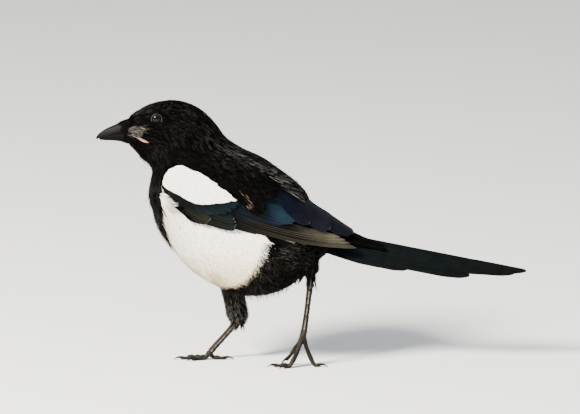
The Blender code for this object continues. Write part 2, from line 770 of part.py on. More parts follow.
def build_legs(clearance):
    feet = (
        ("left", THIGH_LEFT, TARSUS_LEFT, REAR_BALL, (24.0, 13.0, 15.0, 12.0)),
        ("right", THIGH_RIGHT, TARSUS_RIGHT, FRONT_BALL, (6.0, 6.0, 6.0, 6.0)),
    )
    for side_name, thigh_rows, tarsus_rows, ball_point, drops in feet:
        side = SIDES[side_name]
        thigh = cut(limb(thigh_rows, 12, facets=18), clearance)
        thigh_room = limb(thigh_rows, 12, swell=GAP, facets=18)
        tarsus = cut(limb(tarsus_rows, 0, scutes=SHANK_SCUTES), thigh_room)
        tarsus_room = limb(tarsus_rows, 0, swell=GAP, scutes=SHANK_SCUTES)
        finished(thigh, f"thigh_{side_name}", "plumage")
        finished(tarsus, f"tarsus_{side_name}", "scale")
        toes = (
            ("inner", -side * math.radians(22), 17.0, 7.0, 2),
            ("middle", 0.0, 27.0, 8.5, 3),
            ("outer", side * math.radians(24), 19.0, 7.0, 3),
            ("hind", math.pi, 15.0, 9.5, 2),
        )
        pieces = []
        for (toe_name, bearing, reach, claw_length, joints), drop in zip(toes, drops):
            path, heading = toe_path(ball_point, bearing, reach, drop)
            toe, claw = toe_and_claw(path, heading, TOE_RADIUS, claw_length, joints)
            pieces.append(toe)
            finished(claw, f"claw_{toe_name}_{side_name}", "horn")
        palm = ball(ball_point, (4.0, 3.6, 3.4), 12, 8)
        foot = joined(palm, pieces)
        finished(cut(foot, tarsus_room), f"foot_{side_name}", "scale")


empty_the_scene()
bird = collection("Eurasian magpie")
workshop = collection("Cutters")
body_room = body_clearance()
build_body(body_room)
build_wings(body_room)
build_tail(body_room)
build_legs(body_room)
for leftover in list(workshop.objects):
    bpy.data.objects.remove(leftover, do_unlink=True)
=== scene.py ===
# %% [markdown]
# # A Eurasian magpie in mid stride
#
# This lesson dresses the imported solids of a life-size magpie. The solids give the sizes. Here they
# get a skin, a coat of small feathers, fine wing and tail feathers, a horny bill, eyes and scaly
# legs. Every shape is a formula over a grid of two parameters, worked out for the whole grid at once.

import math

import bpy
import numpy as np
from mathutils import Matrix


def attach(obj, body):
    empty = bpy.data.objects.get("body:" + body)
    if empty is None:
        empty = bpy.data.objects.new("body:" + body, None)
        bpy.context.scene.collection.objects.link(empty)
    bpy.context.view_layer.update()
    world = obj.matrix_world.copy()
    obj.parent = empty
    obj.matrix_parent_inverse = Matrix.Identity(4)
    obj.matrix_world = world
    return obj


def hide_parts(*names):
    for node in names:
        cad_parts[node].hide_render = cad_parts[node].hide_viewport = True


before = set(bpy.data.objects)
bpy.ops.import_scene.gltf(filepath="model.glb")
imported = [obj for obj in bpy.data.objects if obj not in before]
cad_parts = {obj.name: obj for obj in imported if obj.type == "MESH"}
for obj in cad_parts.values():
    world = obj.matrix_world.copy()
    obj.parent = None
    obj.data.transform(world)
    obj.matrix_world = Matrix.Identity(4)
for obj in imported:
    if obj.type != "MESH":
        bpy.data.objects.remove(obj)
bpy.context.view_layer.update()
MM = 0.001
SIDES = {"left": -1.0, "right": 1.0}
rng = np.random.default_rng(11)

# %% [markdown]
# ## Curves through named sizes
#
# A bird has no straight lines, so every size along it is a smooth curve through a few rows of a
# table. A spline modifier could do this, but a formula lets each surface below ask for any place on
# it, and for thousands of places in one go.


# %% A smooth curve, an easing, a mix and a test for what lies inside an outline
def curve(table, place):
    """Between two rows: a cubic that keeps their values, and slopes that run on from row to row."""
    table = np.asarray(table, float)
    places, values = table[:, 0], table[:, 1:]
    slopes = np.gradient(values, places, axis=0)
    place = np.clip(np.asarray(place, float), places[0], places[-1])
    row = np.clip(np.searchsorted(places, place, side="right") - 1, 0, len(places) - 2)
    step = (places[row + 1] - places[row])[..., None]
    t = (place - places[row])[..., None] / step
    return (
        (1 + 2 * t) * (1 - t) ** 2 * values[row]
        + t * (1 - t) ** 2 * step * slopes[row]
        + t * t * (3 - 2 * t) * values[row + 1]
        + t * t * (t - 1) * step * slopes[row + 1]
    )


def eased(share):
    """Three times the square less twice the cube of the share, held between 0 and 1."""
    share = np.clip(share, 0.0, 1.0)
    return share * share * (3 - 2 * share)


def between(first, last, share):
    """The first value at share 0, the last at share 1 and a straight line between."""
    return np.array(first) * (1 - share) + np.array(last) * share


def inside(outline, x, y):
    """Whether points lie in an outline: a line to the right crosses its edges an odd number of times."""
    a = np.asarray(outline, float)
    b = np.roll(a, -1, axis=0)
    x, y = np.asarray(x)[..., None], np.asarray(y)[..., None]
    spans = (a[:, 1] > y) != (b[:, 1] > y)
    rise = np.where(b[:, 1] == a[:, 1], 1e-9, b[:, 1] - a[:, 1])
    crossing = a[:, 0] + (y - a[:, 1]) / rise * (b[:, 0] - a[:, 0])
    return (spans & (x < crossing)).sum(-1) % 2 == 1


def unit(vectors):
    """Each vector over its own length."""
    return vectors / np.maximum(np.linalg.norm(vectors, axis=-1, keepdims=True), 1e-9)


print("half way through an easing:", float(eased(0.5)))

# %% [markdown]
# ## From arrays to meshes
#
# Blender takes whole arrays through foreach_set, which is far quicker than adding corners one by
# one. Three kinds of piece are enough for this bird: a closed tube of rings, a set of thin closed
# vanes for its long feathers, and a coat of keeled tufts for its small ones.


# %% Put points and faces into a mesh
def mesh_piece(name, points, faces, material):
    """A mesh object from points in millimetres and a list of face arrays, each of one corner count."""
    mesh = bpy.data.meshes.new(name)
    points = np.asarray(points, float).reshape(-1, 3) * MM
    counts = np.concatenate([np.full(len(f), f.shape[1]) for f in faces])
    loops = np.concatenate([f.ravel() for f in faces])
    mesh.vertices.add(len(points))
    mesh.vertices.foreach_set("co", points.ravel())
    mesh.loops.add(len(loops))
    mesh.loops.foreach_set("vertex_index", loops.astype(np.int32))
    mesh.polygons.add(len(counts))
    starts = np.concatenate([[0], np.cumsum(counts)[:-1]])
    mesh.polygons.foreach_set("loop_start", starts.astype(np.int32))
    mesh.update(calc_edges=True)
    mesh.validate()
    mesh.shade_smooth()
    piece = bpy.data.objects.new(name, mesh)
    bpy.context.scene.collection.objects.link(piece)
    mesh.materials.append(material)
    return piece


print("one millimetre is", MM, "of Blender's units")


# %% Values and maps on a mesh
def add_values(piece, name, values):
    """A named value or colour at every corner point, for a material to read."""
    values = np.asarray(values, float)
    if values.ndim == 1:
        layer = piece.data.attributes.new(name, "FLOAT", "POINT")
        layer.data.foreach_set("value", values)
    else:
        colours = np.concatenate([values, np.ones((len(values), 1))], axis=1)
        layer = piece.data.attributes.new(name, "FLOAT_COLOR", "POINT")
        layer.data.foreach_set("color", colours.ravel())


def add_map(piece, name, places):
    """A UV map from one place for every face corner."""
    layer = piece.data.uv_layers.new(name=name)
    layer.data.foreach_set("uv", np.asarray(places, float).ravel())


def corner_points(piece):
    """For every face corner, the index of its point."""
    index = np.empty(len(piece.data.loops), np.int32)
    piece.data.loops.foreach_get("vertex_index", index)
    return index


print("numbers and colours go on points, a map on face corners")


# %% Closed tubes
def ring_faces(rows, around, capped=True):
    """Quads between neighbouring rings, and a lid on each end."""
    i, j = np.meshgrid(np.arange(rows - 1), np.arange(around), indexing="ij")
    k = (j + 1) % around
    quads = np.stack([i * around + j, (i + 1) * around + j, (i + 1) * around + k, i * around + k], -1)
    faces = [quads.reshape(-1, 4)]
    if capped:
        faces.append(np.arange(around)[None])
        faces.append(np.arange((rows - 1) * around, rows * around)[None, ::-1])
    return faces


def tube(name, rings, material, flip=False):
    """A closed tube from an array of rings."""
    rings = np.asarray(rings)
    faces = ring_faces(*rings.shape[:2])
    if flip:
        faces = [f[:, ::-1] for f in faces]
    return mesh_piece(name, rings, faces, material)


print("a tube of 3 rings of 4 has", sum(len(f) for f in ring_faces(3, 4)), "faces")

# %% [markdown]
# ## Writing a material as a sum
#
# A shader is a web of nodes. It reads best as arithmetic, so one small class wraps a socket and
# turns each plus or times into a Math node. Colours go through Mix nodes, as a Math node would turn
# them grey.


# %% Wrap a socket so that it can be added, multiplied and mixed
class Wire:
    """One output socket of a material, which arithmetic extends by more nodes."""

    def __init__(self, tree, socket=None):
        self.tree, self.socket = tree, socket

    def node(self, kind, settings=None, inputs=None, output=0):
        """Adds a node: its settings first, then a value or a link for each socket named or numbered."""
        made = self.tree.nodes.new(kind)
        for name, value in (settings or {}).items():
            setattr(made, name, value)
        for key, value in (inputs or {}).items():
            if isinstance(value, Wire):
                self.tree.links.new(value.socket, made.inputs[key])
            elif isinstance(value, tuple) and made.inputs[key].type == "RGBA":
                made.inputs[key].default_value = (*value, 1.0)
            else:
                made.inputs[key].default_value = value
        return Wire(self.tree, made.outputs[output])

    def math(self, operation, *values):
        """One Math node on numbers or wires."""
        return self.node("ShaderNodeMath", {"operation": operation}, dict(enumerate(values)))

    def __add__(self, other):
        return self.math("ADD", self, other)

    def __sub__(self, other):
        return self.math("SUBTRACT", self, other)

    def __rsub__(self, other):
        return self.math("SUBTRACT", other, self)

    def __mul__(self, other):
        return self.math("MULTIPLY", self, other)

    __radd__, __rmul__ = __add__, __mul__

    def eased(self, low, high):
        """0 below low, 1 above high and smooth between."""
        settings = {"interpolation_type": "SMOOTHSTEP"}
        return self.node("ShaderNodeMapRange", settings, {0: self, 1: low, 2: high})

    def mixed(self, first, second):
        """The first colour where this value is 0 and the second where it is 1."""
        return self.node("ShaderNodeMix", {"data_type": "RGBA"}, {0: self, 6: first, 7: second}, output=2)

    def times(self, other):
        """This colour multiplied by another."""
        settings = {"data_type": "RGBA", "blend_type": "MULTIPLY"}
        return self.node("ShaderNodeMix", settings, {0: 1.0, 6: self, 7: other}, output=2)

    def value(self, name):
        """The number that the mesh holds under this name."""
        return self.node("ShaderNodeAttribute", {"attribute_name": name}, output=2)

    def colour(self, name):
        """The colour that the mesh holds under this name."""
        return self.node("ShaderNodeAttribute", {"attribute_name": name}, output=0)

    def place(self):
        """Where a point lies in the object's own metres."""
        return self.node("ShaderNodeTexCoord", output=3)

    def noise(self, scale, detail=3.0, stretch=(1, 1, 1)):
        """Cloudy noise from 0 to 1, a scale of 1 being a metre across."""
        spot = self.node("ShaderNodeMapping", {}, {0: self.place(), 3: stretch})
        return self.node("ShaderNodeTexNoise", {}, {0: spot, 2: scale, 3: detail})

    def bump(self, height, strength, distance):
        """A normal that tilts as the height changes."""
        sizes = {"Strength": strength, "Distance": distance, "Height": height}
        return self.node("ShaderNodeBump", {}, sizes)


print("one Wire stands for one socket")


# %% A material from a function
def finish(name, varying, **fixed):
    """A material from one function that gives its varying sockets, and the sockets that stay the same."""
    material = bpy.data.materials.new(name)
    material.use_nodes = True
    tree = material.node_tree
    shader = tree.nodes["Principled BSDF"]
    for key, value in fixed.items():
        socket = shader.inputs[key.replace("_", " ")]
        socket.default_value = value
    for key, wire in varying(Wire(tree)).items():
        tree.links.new(wire.socket, shader.inputs[key])
    return material


print("every finish is one Principled shader")

# %% [markdown]
# ## Plumage finishes
#
# Small feathers scatter light from thousands of barbs: black ones look velvety with brown-grey
# streaks where the sun catches their tips, white ones are never pure white. The tuft itself carries
# its colour, so that skin and coat share one set of markings, and a fine streaky bump does the rest.
# The sunlit brown-grey streaks are painted into the tips' colour: a painted highlight, with some wear.
# A hair shader would suit hair curves, but this coat is mesh, and a mesh keeps its looks when it is
# handed on to other programs.


# %% Black and white coat, and the skin below them
def coat_look(w):
    """The tuft's own colour, times a shade of 0.8 to 1.15 by fine noise, which also lifts the bump."""
    streaks = w.noise(900.0, 4.0)
    shade = streaks.eased(0.3, 0.7).mixed((0.8, 0.8, 0.8), (1.15, 1.13, 1.1))
    return {"Base Color": shade.times(w.colour("tint")), "Normal": w.bump(streaks, 0.2, 0.0003)}


black_coat = finish("black_coat", coat_look, Roughness=0.5, Specular_IOR_Level=0.015)
white_coat = finish("white_coat", coat_look, Roughness=0.75, Specular_IOR_Level=0.12)
skin_look = finish("feathered_skin", coat_look, Roughness=0.8, Specular_IOR_Level=0.04)
print("coat finishes:", black_coat.name, white_coat.name, skin_look.name)

# %% [markdown]
# ## The body's own form
#
# Head, neck, torso and rump are one smooth form through slanted sections, each an oval that runs
# from a point on the ridge of the back to a point on the underside. It could be sculpted, but then
# nothing could be asked where its surface is. With a formula, a feather lies from head to tail
# simply by following the sections, down the breast as well as along the back.

# %% The sections of the body
# x, z of the point on the ridge, x, z of the point on the underside, half width, in millimetres
BODY_SECTIONS = (
    (-175.0, 236.7, -175.7, 213.0, 6.5),
    (-170.1, 241.1, -171.0, 208.9, 9.5),
    (-162.4, 246.0, -165.8, 203.5, 12.5),
    (-153.9, 250.2, -160.5, 197.5, 15.0),
    (-142.5, 253.2, -155.3, 193.7, 16.8),
    (-129.2, 254.0, -151.7, 188.9, 18.5),
    (-114.9, 250.3, -151.5, 182.6, 21.5),
    (-102.6, 242.8, -152.9, 174.9, 25.5),
    (-92.2, 232.2, -154.1, 166.7, 30.5),
    (-81.7, 218.2, -153.4, 156.5, 34.5),
    (-65.5, 207.2, -150.1, 144.5, 37.0),
    (-47.5, 198.8, -143.4, 127.6, 38.0),
    (-30.4, 187.1, -133.0, 112.2, 38.0),
    (-15.8, 175.6, -118.8, 94.4, 37.5),
    (-5.6, 164.8, -100.7, 80.9, 36.5),
    (-0.9, 154.0, -77.9, 70.8, 34.5),
    (5.7, 147.0, -51.3, 67.4, 31.0),
    (12.3, 140.0, -27.5, 73.6, 25.0),
    (19.9, 134.0, -7.6, 87.0, 18.5),
)
SECTION_ROWS = np.column_stack([np.arange(len(BODY_SECTIONS)), BODY_SECTIONS])
LAST_SECTION = len(BODY_SECTIONS) - 1.0


def stacked(x, y, z):
    """Three arrays of coordinates brought to one shape and joined to points."""
    return np.stack(np.broadcast_arrays(x, y, z), -1)


def body_point(place, turn, lift=0.0):
    """The section's middle, plus half its height times the turn's cosine, half its width times the sine."""
    top_x, top_z, low_x, low_z, half_width = np.moveaxis(curve(SECTION_ROWS, place), -1, 0)
    rise_x, rise_z = (top_x - low_x) / 2, (top_z - low_z) / 2
    height = np.hypot(rise_x, rise_z)
    x = (top_x + low_x) / 2 + (height + lift) * np.cos(turn) * rise_x / height
    z = (top_z + low_z) / 2 + (height + lift) * np.cos(turn) * rise_z / height
    return stacked(x, (half_width + lift) * np.sin(turn), z)


print("the body reaches from x =", BODY_SECTIONS[0][0], "to", BODY_SECTIONS[-1][0], "mm")

# %% [markdown]
# ## The folded wing's own form
#
# A folded wing lies on an oval tunnel around the body. Its own frame starts at the bend of the wing,
# runs along the wing to its tip, and rises square to that, so that each feather is drawn flat on
# this frame and then bends round the bird with the tunnel. A shrinkwrap would press all feathers
# onto one surface. Here each keeps its own small lift, and they overlap as in a real wing.

# %% The tunnel of the wings
WING_BEND = (-138.7, 174.2)
WING_SLOPE = math.radians(-17.3)
# place along the wing, height of the tunnel's ridge, height where it is widest, half width there
WING_TUNNEL = (
    (-6.0, 58.0, 0.0, 33.5),
    (10.0, 59.5, 0.0, 38.5),
    (30.0, 60.0, 0.0, 41.5),
    (60.0, 54.5, -2.0, 43.2),
    (90.0, 48.0, -4.0, 42.4),
    (115.0, 37.0, -6.0, 39.0),
    (137.0, 24.0, -7.5, 34.5),
    (157.0, 18.5, -7.5, 29.0),
    (171.0, 14.0, -6.0, 25.0),
    (194.0, 7.5, -3.0, 20.0),
)


def wing_point(side, along, height, lift):
    """Across the tunnel an oval: height over the ridge's height is the turn's sine, its cosine the width."""
    ridge, widest, half_width = np.moveaxis(curve(WING_TUNNEL, along), -1, 0)
    height = np.minimum(height, ridge)
    sine = np.clip((height - widest) / (ridge - widest), -0.95, 0.995)
    up = height + lift * sine
    out = (half_width + lift) * np.sqrt(1 - sine * sine)
    x = WING_BEND[0] + along * math.cos(WING_SLOPE) - up * math.sin(WING_SLOPE)
    z = WING_BEND[1] + along * math.sin(WING_SLOPE) + up * math.cos(WING_SLOPE)
    return stacked(x, side * out, z)


def on_wing(points):
    """For points of the body, their place along the wing and up it, as seen from the side."""
    ahead, above = points[..., 0] - WING_BEND[0], points[..., 2] - WING_BEND[1]
    along = ahead * math.cos(WING_SLOPE) + above * math.sin(WING_SLOPE)
    return along, above * math.cos(WING_SLOPE) - ahead * math.sin(WING_SLOPE)


print("the wing's bend is at", WING_BEND, "mm")

# %% [markdown]
# ## Markings
#
# A magpie is black with a white belly and a white patch on each shoulder. The borders are curves in
# the side view. They could be painted on a map, but a painted edge would be blurred and the same for
# every feather. Here the skin and every tuft ask the same function for their colour, each tuft with
# a small error of its own, which makes the borders ragged as real ones are.

# %% Where the body is white
# z, x along the front and the rear border
BREAST_BORDER = (
    (66.0, -190.0), (112.0, -190.0), (119.0, -136.0), (130.0, -140.0), (148.5, -143.5), (176.0, -143.5),
)
VENT_BORDER = (
    (66.0, -103.0), (73.3, -95.0), (78.0, -86.0), (79.5, -75.0), (84.6, -66.5), (93.0, -58.7),
    (102.5, -53.5), (109.0, -50.0), (122.5, -46.0), (140.0, -44.0),
)
FLANK_TOP = 3.0  # how far up the wing's frame the white runs
BORDER_WIDTH = 1.2  # millimetres over which white turns to black


def inside_white(points):
    """How far inside the white a point is, in millimetres: the least of its distances from three borders."""
    x, z = points[..., 0], points[..., 2]
    behind = x - np.interp(z, *zip(*BREAST_BORDER))
    ahead = np.interp(z, *zip(*VENT_BORDER)) - x
    below = FLANK_TOP - on_wing(points)[1]
    return np.minimum(np.minimum(behind, ahead), below)


def whiteness(points, error=0.0):
    """1 inside the white, 0 outside it, and a smooth change between."""
    return eased((inside_white(points) + error) / BORDER_WIDTH + 0.5)


BLACK = np.array([0.0006, 0.00058, 0.0006])
WHITE = np.array([0.90, 0.86, 0.75])
print("white at the belly's side:", float(whiteness(np.array([-90.0, -30.0, 110.0]))))

# %% [markdown]
# ## The skin
#
# One closed skin lies under the whole coat, a little inside the solids, so that no gap between
# feathers shows a hole. The solids of head, neck, torso and rump could be joined and smoothed
# instead, but the sections give one surface without a seam. It ends in a blunt cone inside the root
# of the tail.

# %% Build the skin
# section, how far the skin lies inside the body's surface
SKIN_DEPTH = ((0.0, 1.0), (5.0, 1.2), (9.0, 2.0), (LAST_SECTION, 2.2))
SKIN_ROWS, SKIN_AROUND = 150, 96
SKIN_END = np.array([26.0, 0.0, 12.0])  # from the last ring to the cone's blunt tip


def circle(count):
    """Even turns round a full circle, without the last, which would be the first again."""
    return np.linspace(0, 2 * math.pi, count, endpoint=False)


def skin_rings():
    """The body's rings drawn in by the coat's depth, then a cone that shrinks towards the tail's root."""
    places = np.linspace(0.0, LAST_SECTION, SKIN_ROWS)
    depth = curve(SKIN_DEPTH, places)[:, 0]
    rings = body_point(places[:, None], circle(SKIN_AROUND)[None], -depth[:, None])
    middle = rings[-1].mean(0)
    shrink = np.linspace(0.9, 0.25, 6)[:, None, None]
    cone = middle + (rings[-1] - middle) * shrink + (1 - shrink) * SKIN_END
    return np.concatenate([rings, cone])


body_skin = skin_rings()
skin = tube("skin_body", body_skin, skin_look)
skin_white = whiteness(body_skin.reshape(-1, 3))[:, None]
add_values(skin, "tint", between(BLACK, WHITE * 0.8, skin_white))
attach(skin, "root")
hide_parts("head", "neck", "torso", "rump")
print("skin points:", len(skin.data.vertices))

# %% [markdown]
# ## Tufts
#
# A small feather is a keeled sliver that starts under the skin and lies along the surface. Hair
# systems would be lost in an exported model, so each tuft is solid mesh: a row of three-cornered
# sections, narrow at both ends. Its shading normals are those of a soft rounded web, which keeps
# the coat from glinting like a pile of needles.


# %% Spread roots evenly over a surface
GRID_LINES = 161
GOLDEN_STEP = 0.6180339887  # its steps fall evenly between 0 and 1, however many there are


def scattered(surface, u_range, v_range, density):
    """Picks cells of a fine grid by their area, in steps of the golden ratio, and a random spot in each."""
    u, v = np.linspace(*u_range, GRID_LINES), np.linspace(*v_range, GRID_LINES)
    grid = surface(u[:, None], v[None, :], 0.0)
    sides = grid[1:, :-1] - grid[:-1, :-1], grid[:-1, 1:] - grid[:-1, :-1]
    area = np.linalg.norm(np.cross(*sides), axis=-1).ravel()
    total = np.cumsum(area)
    count = int(total[-1] * density)
    draws = (np.arange(count) * GOLDEN_STEP + rng.random()) % 1.0
    row, column = np.divmod(np.searchsorted(total / total[-1], draws), len(v) - 1)
    return (
        u[row] + rng.random(count) * (u[1] - u[0]),
        v[column] + rng.random(count) * (v[1] - v[0]),
    )


print("a grid of", GRID_LINES - 1, "cells each way gives the area at every place")

# %% Grow a keeled sliver from each root
# how wide a tuft is at each of its sections, as a share of its full width
PROFILES = {
    "hair": np.array([0.5, 1.0, 0.7, 0.12]),
    "web": np.array([0.45, 0.95, 1.0, 0.72, 0.15]),
    "lock": np.array([0.6, 1.0, 0.75, 0.4, 0.06]),
}
NUDGE = 0.01  # a small step along a surface, to measure how fast it runs
PATCH = 0.003  # the size of one tuft on the map


def grown(surface, u, v, length, width, veer, proud, profile="hair", sink=1.2, round_off=0.6, keel=0.22):
    """From each root, steps over the surface; at each step a left, a keel and a right point.

    veer turns a tuft off the surface's own first direction, in radians. proud is how far its tip
    stands off the surface, and sink how far its root lies below it, in millimetres. round_off is how
    far the normals lean out at its sides, and keel its ridge's height over half its width.
    """
    shape = PROFILES[profile]
    t = np.linspace(0, 1, len(shape))
    root = surface(u, v, 0.0)
    speed_u = np.linalg.norm(surface(u + NUDGE, v, 0.0) - root, axis=-1) / NUDGE
    speed_v = np.linalg.norm(surface(u, v + NUDGE, 0.0) - root, axis=-1) / NUDGE
    step_u = length * np.cos(veer) / np.maximum(speed_u, 0.2)
    step_v = length * np.sin(veer) / np.maximum(speed_v, 0.2)
    us, vs = u[:, None] + step_u[:, None] * t, v[:, None] + step_v[:, None] * t
    lift = -sink * (1 - t) ** 2 + np.asarray(proud)[..., None] * t**1.5
    spine = surface(us, vs, lift)
    out = unit(surface(us, vs, lift + 1.0) - spine)
    onward = unit(np.gradient(spine, axis=1))
    across = unit(np.cross(out, onward))
    half = (np.asarray(width)[..., None] / 2 * shape)[..., None]
    points = np.stack([spine - across * half, spine + out * half * keel, spine + across * half], 2)
    normals = np.stack([unit(out - across * round_off), out, unit(out + across * round_off)], 2)
    return points, normals, t


def coat_piece(name, surface, u, v, spans, colours, material, **shape):
    """One joined mesh of all tufts, with their colour and a small patch of the map for each."""
    points, normals, t = grown(surface, u, v, **shape)
    count, rows = points.shape[:2]
    first = np.arange(count)[:, None, None] * rows * 3
    i, j = np.meshgrid(np.arange(rows - 1), np.arange(3), indexing="ij")
    k = (j + 1) % 3
    quad = np.stack([i * 3 + j, i * 3 + 3 + j, i * 3 + 3 + k, i * 3 + k], -1).reshape(1, -1, 4)
    lids = np.array([[[0, 1, 2], [rows * 3 - 3, rows * 3 - 1, rows * 3 - 2]]])
    faces = [(first + quad).reshape(-1, 4), (first + lids).reshape(-1, 3)]
    piece = mesh_piece(name, points, faces, material)
    base, tip = colours
    share = (t**2)[None, :, None, None]
    tint = between(base[:, None, None], tip[:, None, None], share)
    add_values(piece, "tint", np.broadcast_to(tint, (count, rows, 3, 3)).reshape(-1, 3))
    low, high = np.array(spans, float).T
    home = (np.stack([u, v], -1) - low) / (high - low)
    patch = np.stack(np.meshgrid(t, np.linspace(0, 1, 3), indexing="ij"), -1) * PATCH
    places = (home[:, None, None] * 0.99 + patch).reshape(-1, 2)
    add_map(piece, "OFBake", places[corner_points(piece)])
    piece.data.normals_split_custom_set_from_vertices(normals.reshape(-1, 3).tolist())
    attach(piece, "root")
    print(name, "tufts:", count, "triangles:", count * (6 * (rows - 1) + 2))


print("profiles:", ", ".join(PROFILES))


# %% [markdown]
# ## The coat of the body
#
# The coat is laid in regions. On the head the feathers are short and fine, on the neck longer, on
# the back broad and loose, on the white belly soft and long, and on the black vent like hair. One
# coat with a painted density would do, but regions keep each piece small, and each has its own
# length, width and lie. Under the folded wings there are none, as nobody sees them.

# %% Which roots the wings and the eyes hide
# along the wing, up it
WING_COVER = (
    (6, 20), (24, 26), (60, 34), (100, 30), (140, 15), (170, 8), (168, -3), (147, -7.5), (107, -12.5),
    (74, -18.5), (50, -21), (31, -22.5), (20, -17), (12, -10),
)
WING_INNER = 12.0  # nearer the middle than this no wing covers the back
EYE_PLACE = (-147.1, 238.2)
BARE_RADIUS = 5.9  # no tufts this near the eye


def in_sight(points):
    """Neither in the outline that a folded wing covers nor in the circle of the eyelid."""
    along, up = on_wing(points)
    under_wing = inside(WING_COVER, along, up) & (np.abs(points[..., 1]) > WING_INNER)
    at_eye = np.hypot(points[..., 0] - EYE_PLACE[0], points[..., 2] - EYE_PLACE[1]) < BARE_RADIUS
    return ~under_wing & ~at_eye


print("eye at", EYE_PLACE, "mm")

# %% Scatter a coat over part of the body
FULL_TURN = (-math.pi, math.pi)


def varied(count, spread):
    """A factor near 1 for each tuft."""
    return 1 + spread * rng.standard_normal(count).clip(-2, 2)


def body_coat(
    name, places, density, wanted, colours, length, width, *,
    material=black_coat, turns=FULL_TURN, spread=0.16, fall=0.0, proud=0.5, **shape
):
    """Scatters roots over sections and turns of the body, keeps those that are wanted and in sight.

    length and width are curves along the sections. spread is how far directions scatter, fall how far
    the tufts turn down off the sections' own lie, and proud how far most of their tips stand off.
    """
    u, v = scattered(body_point, places, turns, density)
    root = body_point(u, v, 0.0)
    keep = in_sight(root) & wanted(root, v)
    u, v = u[keep], v[keep]
    count = len(u)
    shape["length"] = curve(length, u)[:, 0] * varied(count, 0.16)
    shape["width"] = curve(width, u)[:, 0] * varied(count, 0.14)
    shape["veer"] = spread * rng.standard_normal(count) + fall * np.sin(v)
    shape["proud"] = proud * (0.4 + rng.random(count))
    coat_piece(name, body_point, u, v, (places, turns), colours(root[keep], count), material, **shape)


print("the body's sections run from 0 to", LAST_SECTION)


# %% Roots by marking, with a ragged border
def ragged(root):
    """An error for each root in millimetres: small along the breast, large along the vent."""
    return (0.4 + 0.6 * eased((root[:, 0] + 115.0) / 30.0)) * rng.standard_normal(len(root))


def is_black(root, turn):
    """Less than half white, with the error."""
    return whiteness(root, ragged(root)) < 0.5


def is_white(root, turn):
    """At least half white, with the error, up to half a millimetre past the border."""
    return whiteness(root, ragged(root) + 0.5) >= 0.5


print("a border's error is drawn once for each root")

# %% Colours of black and white tufts
# x, z, radius and strength of the loose places, whose worn tips get a painted highlight of sunlight
LOOSE_LIT_PLACES = np.array(
    (
        (-86.0, 215.0, 11.0, 1.5), (-102.0, 228.0, 12.0, 0.6), (-131.0, 228.0, 13.0, 0.25),
        (-169.0, 243.0, 5.0, 2.2), (-160.0, 248.0, 6.0, 1.8), (-142.0, 253.0, 8.0, 0.7),
        (-121.0, 250.0, 9.0, 0.6), (-152.0, 205.0, 12.0, 0.6), (-151.0, 176.0, 9.0, 0.7),
        (-151.0, 150.0, 12.0, 0.6), (-64.0, 207.0, 10.0, 1.7), (-45.0, 200.0, 9.0, 0.8),
        (-28.0, 190.0, 9.0, 0.7), (-14.0, 179.0, 9.0, 0.7), (-5.0, 167.0, 9.0, 0.6),
        (-52.0, 92.0, 16.0, 0.3), (-34.0, 112.0, 12.0, 0.3), (-70.0, 50.0, 20.0, 1.6),
    )
)


def loose_and_lit(points):
    """The sum of soft round spots in the side view."""
    away = np.hypot(points[..., None, 0] - LOOSE_LIT_PLACES[:, 0], points[..., None, 2] - LOOSE_LIT_PLACES[:, 1])
    return (LOOSE_LIT_PLACES[:, 3] * np.exp(-((away / LOOSE_LIT_PLACES[:, 2]) ** 2))).sum(-1)


# The brown grey tip colour is partly wear and partly a painted highlight where the sun catches the tips.
def black_tints(brown, worn=(0.085, 0.08, 0.069)):
    """Black, mixed towards a brown grey at the tip by the cube of a random share, times the loose spots."""

    def tints(root, count):
        """A colour for the root and one for the tip of each tuft."""
        base = BLACK * varied(count, 0.25)[:, None]
        share = (rng.random(count) ** 3 * brown * (0.12 + loose_and_lit(root))).clip(0, 1)[:, None]
        return base, between(base, worn, share)

    return tints


# A darker cream: painted shade on the belly's underside and on the front of the shoulder.
SHADED_CREAM = np.array([0.58, 0.48, 0.27])


def white_tints(root, count):
    """White mixed towards a darker cream, as painted shade, down the belly's underside and the shoulder's
    front.
    """
    front = np.exp(-(((root[:, 0] + 147.0) / 14.0) ** 2)) * eased((172.0 - root[:, 2]) / 10.0)
    shade_share = np.maximum(eased((134.0 - root[:, 2]) / 55.0) * 0.85, front * 0.6)[:, None]
    base = between(WHITE, SHADED_CREAM, shade_share) * varied(count, 0.03)[:, None]
    return base, base * 1.02


def loose_tints(root, count):
    """Black at the root, and from dark to pale grey-green at the tip, few of them pale."""
    share = (rng.random(count) ** 2.5)[:, None]
    return np.tile(BLACK, (count, 1)), between(BLACK, (0.21, 0.21, 0.18), share)


def faded_tints(power, dark, pale, root_shade):
    """From dark to pale by a power of a random share, so that few are pale, and darker at the root."""

    def tints(root, count):
        """A colour for the root and one for the tip of each tuft."""
        tip = between(dark, pale, (rng.random(count) ** power)[:, None])
        return tip * root_shade, tip

    return tints


print("loose places:", len(LOOSE_LIT_PLACES))

# %% The head and the neck
body_coat(
    "coat_head", (0.15, 6.4), 0.62, is_black, black_tints(0.5),
    ((0.0, 4.0), (3.0, 5.0), (6.4, 8.0)), ((0.0, 0.8), (3.0, 1.1), (6.4, 1.6)), proud=0.35, sink=0.8,
)
body_coat(
    "coat_neck", (5.9, 9.8), 0.30, is_black, black_tints(0.5),
    ((5.0, 8.0), (10.0, 11.0)), ((5.0, 1.6), (10.0, 2.2)),
)


# %% The back, the belly and the vent
def is_back(root, turn):
    """Black, and within 1.9 radians of the ridge."""
    return is_black(root, turn) & (np.abs(turn) < 1.9)


def is_vent(root, turn):
    """Black, and more than 1.5 radians from the ridge."""
    return is_black(root, turn) & (np.abs(turn) >= 1.5)


